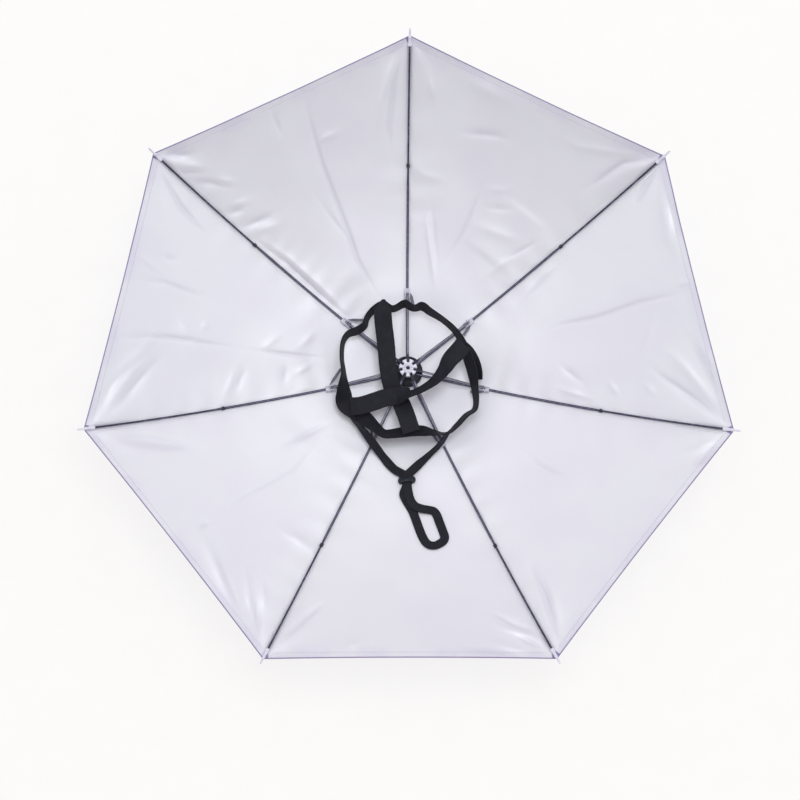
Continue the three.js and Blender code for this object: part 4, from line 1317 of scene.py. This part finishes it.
def lining_top(x, y):
    """Height of the lining at a point of the plan."""
    from_first = math.atan2(y, x) - (math.pi / 2 - half_panel)
    offset = from_first - panel_pitch * round(from_first / panel_pitch)
    reach = math.hypot(x, y) * math.cos(offset) / math.cos(half_panel)
    lean = math.atan(math.tan(math.asin(reach / dome_radius)) / math.cos(half_panel))
    return dome_height(reach) + canopy_wall / math.cos(lean) + facet_rise / math.cos(lean) ** 3


def rest_height(x, y):
    """What a strap lies on: the stretchers and joints, and the lining further out."""
    reach = math.hypot(x, y)
    frame_top = max(stretcher_top(reach), joint_top_height)
    outer = joint_reach + joint_length / 2
    share = float(smooth_step(outer, outer + joint_length, reach))
    return frame_top + (lining_top(x, y) - frame_top) * share


def strap_line(points, manners, count, closed, width):
    """Middle points of a strap, and the direction of its width at each."""
    path = [np.array([x, y, 0]) for x, y in points]
    manner = [np.array([stand, lift, 0]) for stand, lift in manners]
    middles, sides = [], []
    for index in range(count if closed else count + 1):
        share = index / count
        middle = curve_point(path, closed, share)
        early, late = share - nudge, share + nudge
        if closed:
            early, late = early % 1, late % 1
        else:
            early, late = max(early, 0), min(late, 1)
        ahead = curve_point(path, closed, late) - curve_point(path, closed, early)
        stand, lift, _ = curve_point(manner, closed, share)
        across = np.array([-ahead[1], ahead[0], 0]) / np.linalg.norm(ahead)

        def rest_beside(offset):
            return rest_height(*(middle + across * offset)[:2])

        slope = math.atan((rest_beside(width / 2) - rest_beside(-width / 2)) / width)
        turn = slope * (1 - abs(stand) / 90) + math.radians(stand)
        reach = width / 2 * math.cos(turn)
        rise = width / 2 * math.sin(turn)
        support = max(rest_beside(reach) - rise, rest_beside(-reach) + rise)
        middle[2] = support + webbing_thickness / 2 / math.cos(slope) + clearance + lift
        middles.append(middle)
        sides.append(across * math.cos(turn) + np.array([0, 0, math.sin(turn)]))
    return np.array(middles), np.array(sides)


def webbing(middles, sides, width, thickness, closed=False, across_points=13, share=1):
    """Flat webbing with rounded edges. share: how much of its width each ring has."""
    if closed:
        ahead = np.roll(middles, -1, axis=0) - np.roll(middles, 1, axis=0)
    else:
        ahead = np.gradient(middles, axis=0)
    ahead = ahead / np.linalg.norm(ahead, axis=1)[:, None]
    face = np.cross(ahead, sides)
    face = face / np.linalg.norm(face, axis=1)[:, None]
    edge = np.cross(face, ahead)
    half, thick = width / 2, thickness / 2
    flat = np.linspace(-half + thick, half - thick, across_points)
    bend = np.linspace(-math.pi / 2, math.pi / 2, 5)[1:-1]
    outline = [(x, -thick) for x in flat]
    outline += [(half - thick + thick * math.cos(a), thick * math.sin(a)) for a in bend]
    outline += [(x, thick) for x in flat[::-1]]
    outline += [(-half + thick - thick * math.cos(a), -thick * math.sin(a)) for a in bend]
    outline = np.array(outline)
    gathers = share * (1 + gather_depth * np.sin(np.arange(len(middles)) * gather_pace))
    rings = middles[:, None] + (outline[:, 0] * gathers[:, None])[..., None] * edge[:, None]
    rings = rings + outline[:, 1][None, :, None] * face[:, None]
    return loft(rings, loop=closed)


def webbing_finish(name, colour, dusty, cord_pitch, pick_pitch):
    material, dye = new_finish(name)
    around, along = flat_map(dye)
    cords = around.wave(cord_pitch)
    picks = along.wave(pick_pitch)
    dust = speckle(dye, 120, 4).rise(0.45, 0.75)
    relief = dye.node("Bump", None, {
        "Strength": 0.7,
        "Distance": 0.0003,
        "Height": cords * 0.7 + picks * cords * 0.3,
    })
    apply_finish(material, {
        "Base Color": (cords * 0.35 + dust * 0.4).mix(colour, dusty),
        "Roughness": 0.62,
        "Specular IOR Level": 0.28,
        "Normal": relief,
    })
    return material


black_elastic = webbing_finish("black_elastic", webbing_black, webbing_dusty, 0.0014, 0.0011)


def lay_elastic(name, node, line, steps, width, across_points, closed=False, folded=0):
    """Black elastic along a line of points and manners, with so many steps from row to row.

    folded: how far from its first end, in mm, the strap starts to fold to a peak.
    """
    points, manners = line
    spans = len(points) if closed else len(points) - 1
    middles, sides = strap_line(points, manners, steps * spans, closed, width)
    share = 1
    if folded:
        along = np.linalg.norm(middles - middles[0], axis=1)
        share = fold_share + (1 - fold_share) * np.clip(along / folded, 0, 1)
    body = webbing(middles, sides, width, webbing_thickness, closed, across_points, share)
    piece = new_piece(name, body, black_elastic, sharp=70)
    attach(piece, "root")
    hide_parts(node)


band_points = []
for turn, reach, _, _ in band_rows:
    angle = math.radians(turn)
    reach = reach * band_radius
    band_points.append((reach * math.cos(angle), reach * math.sin(angle)))
band_manners = [(stand, rise * band_width) for _, _, stand, rise in band_rows]
band_line = (band_points, band_manners)
lay_elastic("elastic_head_band", "head_band", band_line, 8, band_width, 17, closed=True)

# Crown straps and tail. Two lengths of the same elastic cross over the head inside the
# band and are sewn to it. The loose end of the second hangs outside the band.
# Columns: x and y as shares of band_radius, stand, rise, and 1 where it lies on top.
strap_rows_a = [
    (-0.362, 1.025, 0, 1.08, 0), (-0.372, 0.95, 0, 1.12, 0), (-0.378, 0.83, 0, 1, 0),
    (-0.36, 0.62, 0, 0.62, 0), (-0.325, 0.34, 0, 0.22, 0), (-0.295, 0, 0, 0.04, 0),
    (-0.235, -0.28, 0, 0.03, 0), (-0.16, -0.41, 0, 0.05, 0), (-0.085, -0.56, 0, 0.3, 0),
    (-0.01, -0.77, 0, 0.76, 0), (0.05, -0.96, 0, 1, 0),
]
strap_rows_b = [
    (0.83, 0.35, 0, 1.08, 0), (0.75, 0.25, 4, 0.98, 0), (0.625, 0.115, 26, 0.6, 0),
    (0.535, -0.035, 48, 0.3, 0), (0.41, -0.185, 60, 0.12, 0), (0.255, -0.3, 66, 0.08, 0),
    (0.075, -0.385, 68, 0.08, 1), (-0.06, -0.41, 40, 0.1, 1), (-0.2, -0.425, 6, 0.18, 1),
    (-0.34, -0.45, 0, 0.34, 1), (-0.49, -0.5, 0, 0.48, 1), (-0.7, -0.565, 0, 0.68, 1),
    (-0.85, -0.575, 0, 0.68, 1),
]
tail_rows = [
    (0.845, 0.36, 20, 0.2, 0), (0.915, 0.295, 20, 0.22, 0), (0.98, 0.2, 24, 0.2, 0),
    (1.035, 0.08, 30, 0.12, 0), (1.065, -0.05, 36, 0.06, 0), (1.065, -0.15, 40, 0.05, 0),
]
tail_width = 10
deck_step = webbing_thickness + clearance
strap_steps = 9


def row_line(rows, rise_scale):
    """Points of a strap, and how it stands and how high it lies at each."""
    points = [(x * band_radius, y * band_radius) for x, y, _, _, _ in rows]
    manners = [(stand, rise * rise_scale + deck * deck_step) for _, _, stand, rise, deck in rows]
    return points, manners


line_a = row_line(strap_rows_a, band_width)
line_b = row_line(strap_rows_b, band_width)
line_tail = row_line(tail_rows, band_width)
lay_elastic("elastic_strap_a", "crown_strap_a", line_a, strap_steps, band_width, 13, folded=11)
lay_elastic("elastic_strap_b", "crown_strap_b", line_b, strap_steps, band_width, 13)
lay_elastic("elastic_tail", "strap_tail", line_tail, strap_steps, tail_width, 9)

# Chin strap. A narrow black elastic, one loop from the left of the band through the
# lock, round the end loop and back through the lock to the right of the band.
# Columns: x and y as shares of band_radius, stand, lift, and 1 where it lies on top.
chin_rows = [
    (-0.845, -0.685, 62, 0.2, 0), (-0.8, -0.765, 62, 0.5, 0), (-0.742, -0.83, 60, 0.9, 0),
    (-0.635, -0.958, 42, 1, 0), (-0.51, -1.12, 16, 1, 0), (-0.335, -1.345, 4, 0.9, 0),
    (-0.2, -1.49, 0, 0.8, 0), (-0.08, -1.56, 0, 0.95, 0), (-0.02, -1.6, 0, 1, 0),
    (-0.013, -1.66, 0, 1, 0), (-0.008, -1.72, 0, 1, 0), (-0.035, -1.79, 0, 0.9, 0),
    (-0.06, -1.87, 0, 0.7, 0), (-0.015, -1.98, 0, 0.3, 0), (0.065, -2.12, 0, 0.1, 0),
    (0.125, -2.28, 0, 0.1, 0), (0.19, -2.465, 0, 0.1, 0), (0.255, -2.59, 0, 0.15, 0),
    (0.31, -2.632, 0, 0.15, 0), (0.38, -2.642, 0, 0.15, 0), (0.455, -2.615, 0, 0.15, 0),
    (0.515, -2.57, 0, 0.15, 0), (0.535, -2.515, 0, 0.15, 0), (0.505, -2.41, 0, 0.15, 0),
    (0.459, -2.281, 0, 0.15, 0), (0.43, -2.195, 0, 0.15, 0), (0.385, -2.13, 0, 0.2, 0),
    (0.31, -2.108, 0, 0.2, 0), (0.21, -2.09, 0, 0.2, 1), (0.1, -2.045, 0, 0.3, 1),
    (0.035, -1.95, 0, 0.5, 1), (0.005, -1.83, 0, 0.8, 1), (-0.008, -1.72, 0, 1, 1),
    (-0.013, -1.66, 0, 1, 1), (-0.02, -1.6, 0, 1, 1), (0.06, -1.52, 6, 0.95, 1),
    (0.255, -1.34, 26, 0.85, 0), (0.36, -1.245, 50, 0.9, 0), (0.45, -1.16, 56, 1, 0),
    (0.55, -1.03, 60, 1, 0), (0.598, -0.955, 68, 1, 0),
]
chin_width = 10
lock_height = 8
slot_lift = (lock_height - webbing_thickness - deck_step) / 2
chin_line = row_line(chin_rows, slot_lift)
lay_elastic("elastic_chin_strap", "chin_strap", chin_line, 6, chin_width, 9)

# Joint ties. Short grey tapes that hold the head band to the rib joints.
# One for each rib: degrees clockwise from the joint to where the tape meets the band.
tie_shifts = [5, 6, 6, 5, 6, 14, 11]
tie_width = 3.2
tape_thickness = 0.9
tape_sag = 0.5
tape_gather = 0.3
tape_gather_end = 0.35
tape_grey = (0.15, 0.15, 0.19, 1)
tape_dusty = (0.26, 0.26, 0.31, 1)
grey_webbing = webbing_finish("grey_tape", tape_grey, tape_dusty, 0.0009, 0.0008)
for rib, shift in enumerate(tie_shifts):
    turn = rib_turn(rib)
    outward = np.array([math.cos(turn), math.sin(turn), 0])
    clockwise = np.array([outward[1], -outward[0], 0])
    foot = outward * joint_seat[0] + clockwise * (joint_outer_half + tape_thickness / 2)
    foot[2] = joint_seat[2] + joint_web_top
    band_turn = turn - math.radians(shift)
    head = band_radius * np.array([math.cos(band_turn), math.sin(band_turn), 0])
    head[2] = stretcher_top(band_radius) - webbing_thickness
    shares = np.linspace(0, 1, 17)[:, None]
    line = foot + (head - foot) * shares
    line[:, 2] -= tape_sag * np.sin(math.pi * shares[:, 0])
    ahead = (head - foot) / np.linalg.norm(head - foot)
    side = np.array([-ahead[1], ahead[0], 0]) / math.hypot(ahead[0], ahead[1])
    drawn_in = tape_gather + (1 - tape_gather) * smooth_step(0, tape_gather_end, shares[:, 0])
    tape_sides = np.broadcast_to(side, line.shape)
    body = webbing(line, tape_sides, tie_width, tape_thickness, False, 7, drawn_in)
    piece = new_piece(f"grey_tape_{rib + 1}", body, grey_webbing, sharp=70)
    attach(piece, "root")
    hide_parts(f"joint_tie_{rib + 1}")

# Cord lock. A moulded black bar with round knobs at both ends, and one wide slot
# that both layers of the chin strap pass through.
lock_length = 20
lock_waist = 6.6
lock_depth = 7
lock_middle_share = 0.7
lock_end = 3.2
lock_neck = 3.2
lock_turn = 5
lock_seat = 0.45
lock_row = 9
lock_corners = 64
slot_clearance = 0.6
slot_squareness = 6
slot_half_width = chin_width / 2 + slot_clearance
slot_half_height = (webbing_thickness + deck_step) / 2 + slot_clearance
lock_knob = lock_height / 2


def bone_ring(inset):
    """Outline of the lock: two round knobs and a waist, seen from its end."""
    points = []
    for step in range(lock_corners):
        turn = 2 * math.pi * (step + 0.5) / lock_corners
        x = (lock_length / 2 - inset) * math.cos(turn)
        knob_middle = lock_length / 2 - lock_knob
        beyond = max(0, abs(x) - knob_middle)
        round_height = math.sqrt(max(0, (lock_knob - inset) ** 2 - beyond**2))
        waist = lock_waist / 2 - inset
        bulge = 1 - float(smooth_step(0, lock_knob * 0.9, knob_middle - abs(x)))
        height = min(round_height, waist + (lock_knob - inset - waist) * bulge)
        points.append((x, math.copysign(height, math.sin(turn))))
    return points


def slot_ring(grow):
    """Outline of the lock's slot, wider by grow on each side."""
    points = []
    for step in range(lock_corners):
        turn = 2 * math.pi * (step + 0.5) / lock_corners
        x, y = math.cos(turn), math.sin(turn)
        scale = (abs(x) ** slot_squareness + abs(y) ** slot_squareness) ** (-1 / slot_squareness)
        points.append((x * scale * (slot_half_width + grow), y * scale * (slot_half_height + grow)))
    return points


lock_x, lock_y = chin_line[0][lock_row]
fall = rest_height(lock_x, lock_y - lock_depth / 2) - rest_height(lock_x, lock_y + lock_depth / 2)
lock_lean = -math.atan(fall / lock_depth)
lock_edges = [(0.9, -3.5), (0.3, -3.3), (0, -2.7), (0, 2.7), (0.3, 3.3), (0.9, 3.5)]
slot_edges = [(0.35, 3.45), (0, 3), (0, -3), (0.35, -3.45)]
lock_levels = [(bone_ring(inset), depth) for inset, depth in lock_edges]
lock_levels += [(slot_ring(grow), depth) for grow, depth in slot_edges]
lock_rings = np.array([[(x, -depth, z) for x, z in ring] for ring, depth in lock_levels])
knob_start = np.abs(lock_rings[..., 0]) - (lock_length / 2 - 2 * lock_knob)
in_knob = smooth_step(0, lock_neck, knob_start)
lock_rings[..., 1] *= lock_middle_share + (1 - lock_middle_share) * in_knob
past_knob = np.clip((np.abs(lock_rings[..., 0]) - lock_length / 2 + lock_end) / lock_end, 0, 0.98)
lock_rings[..., 1] *= np.sqrt(1 - past_knob**2)
lock_points, faces, flat = loft(lock_rings, loop=True)
stance = Matrix.Rotation(math.radians(lock_turn), 3, "Z") @ Matrix.Rotation(lock_lean, 3, "X")
lock_middle = np.array([lock_x, lock_y, rest_height(lock_x, lock_y) + lock_seat + lock_height / 2])
lock_points = lock_points @ np.array(stance).T + lock_middle
piece = new_piece("lock_bar", (lock_points, faces, flat), black_plastic)
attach(piece, "root")
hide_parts("cord_lock")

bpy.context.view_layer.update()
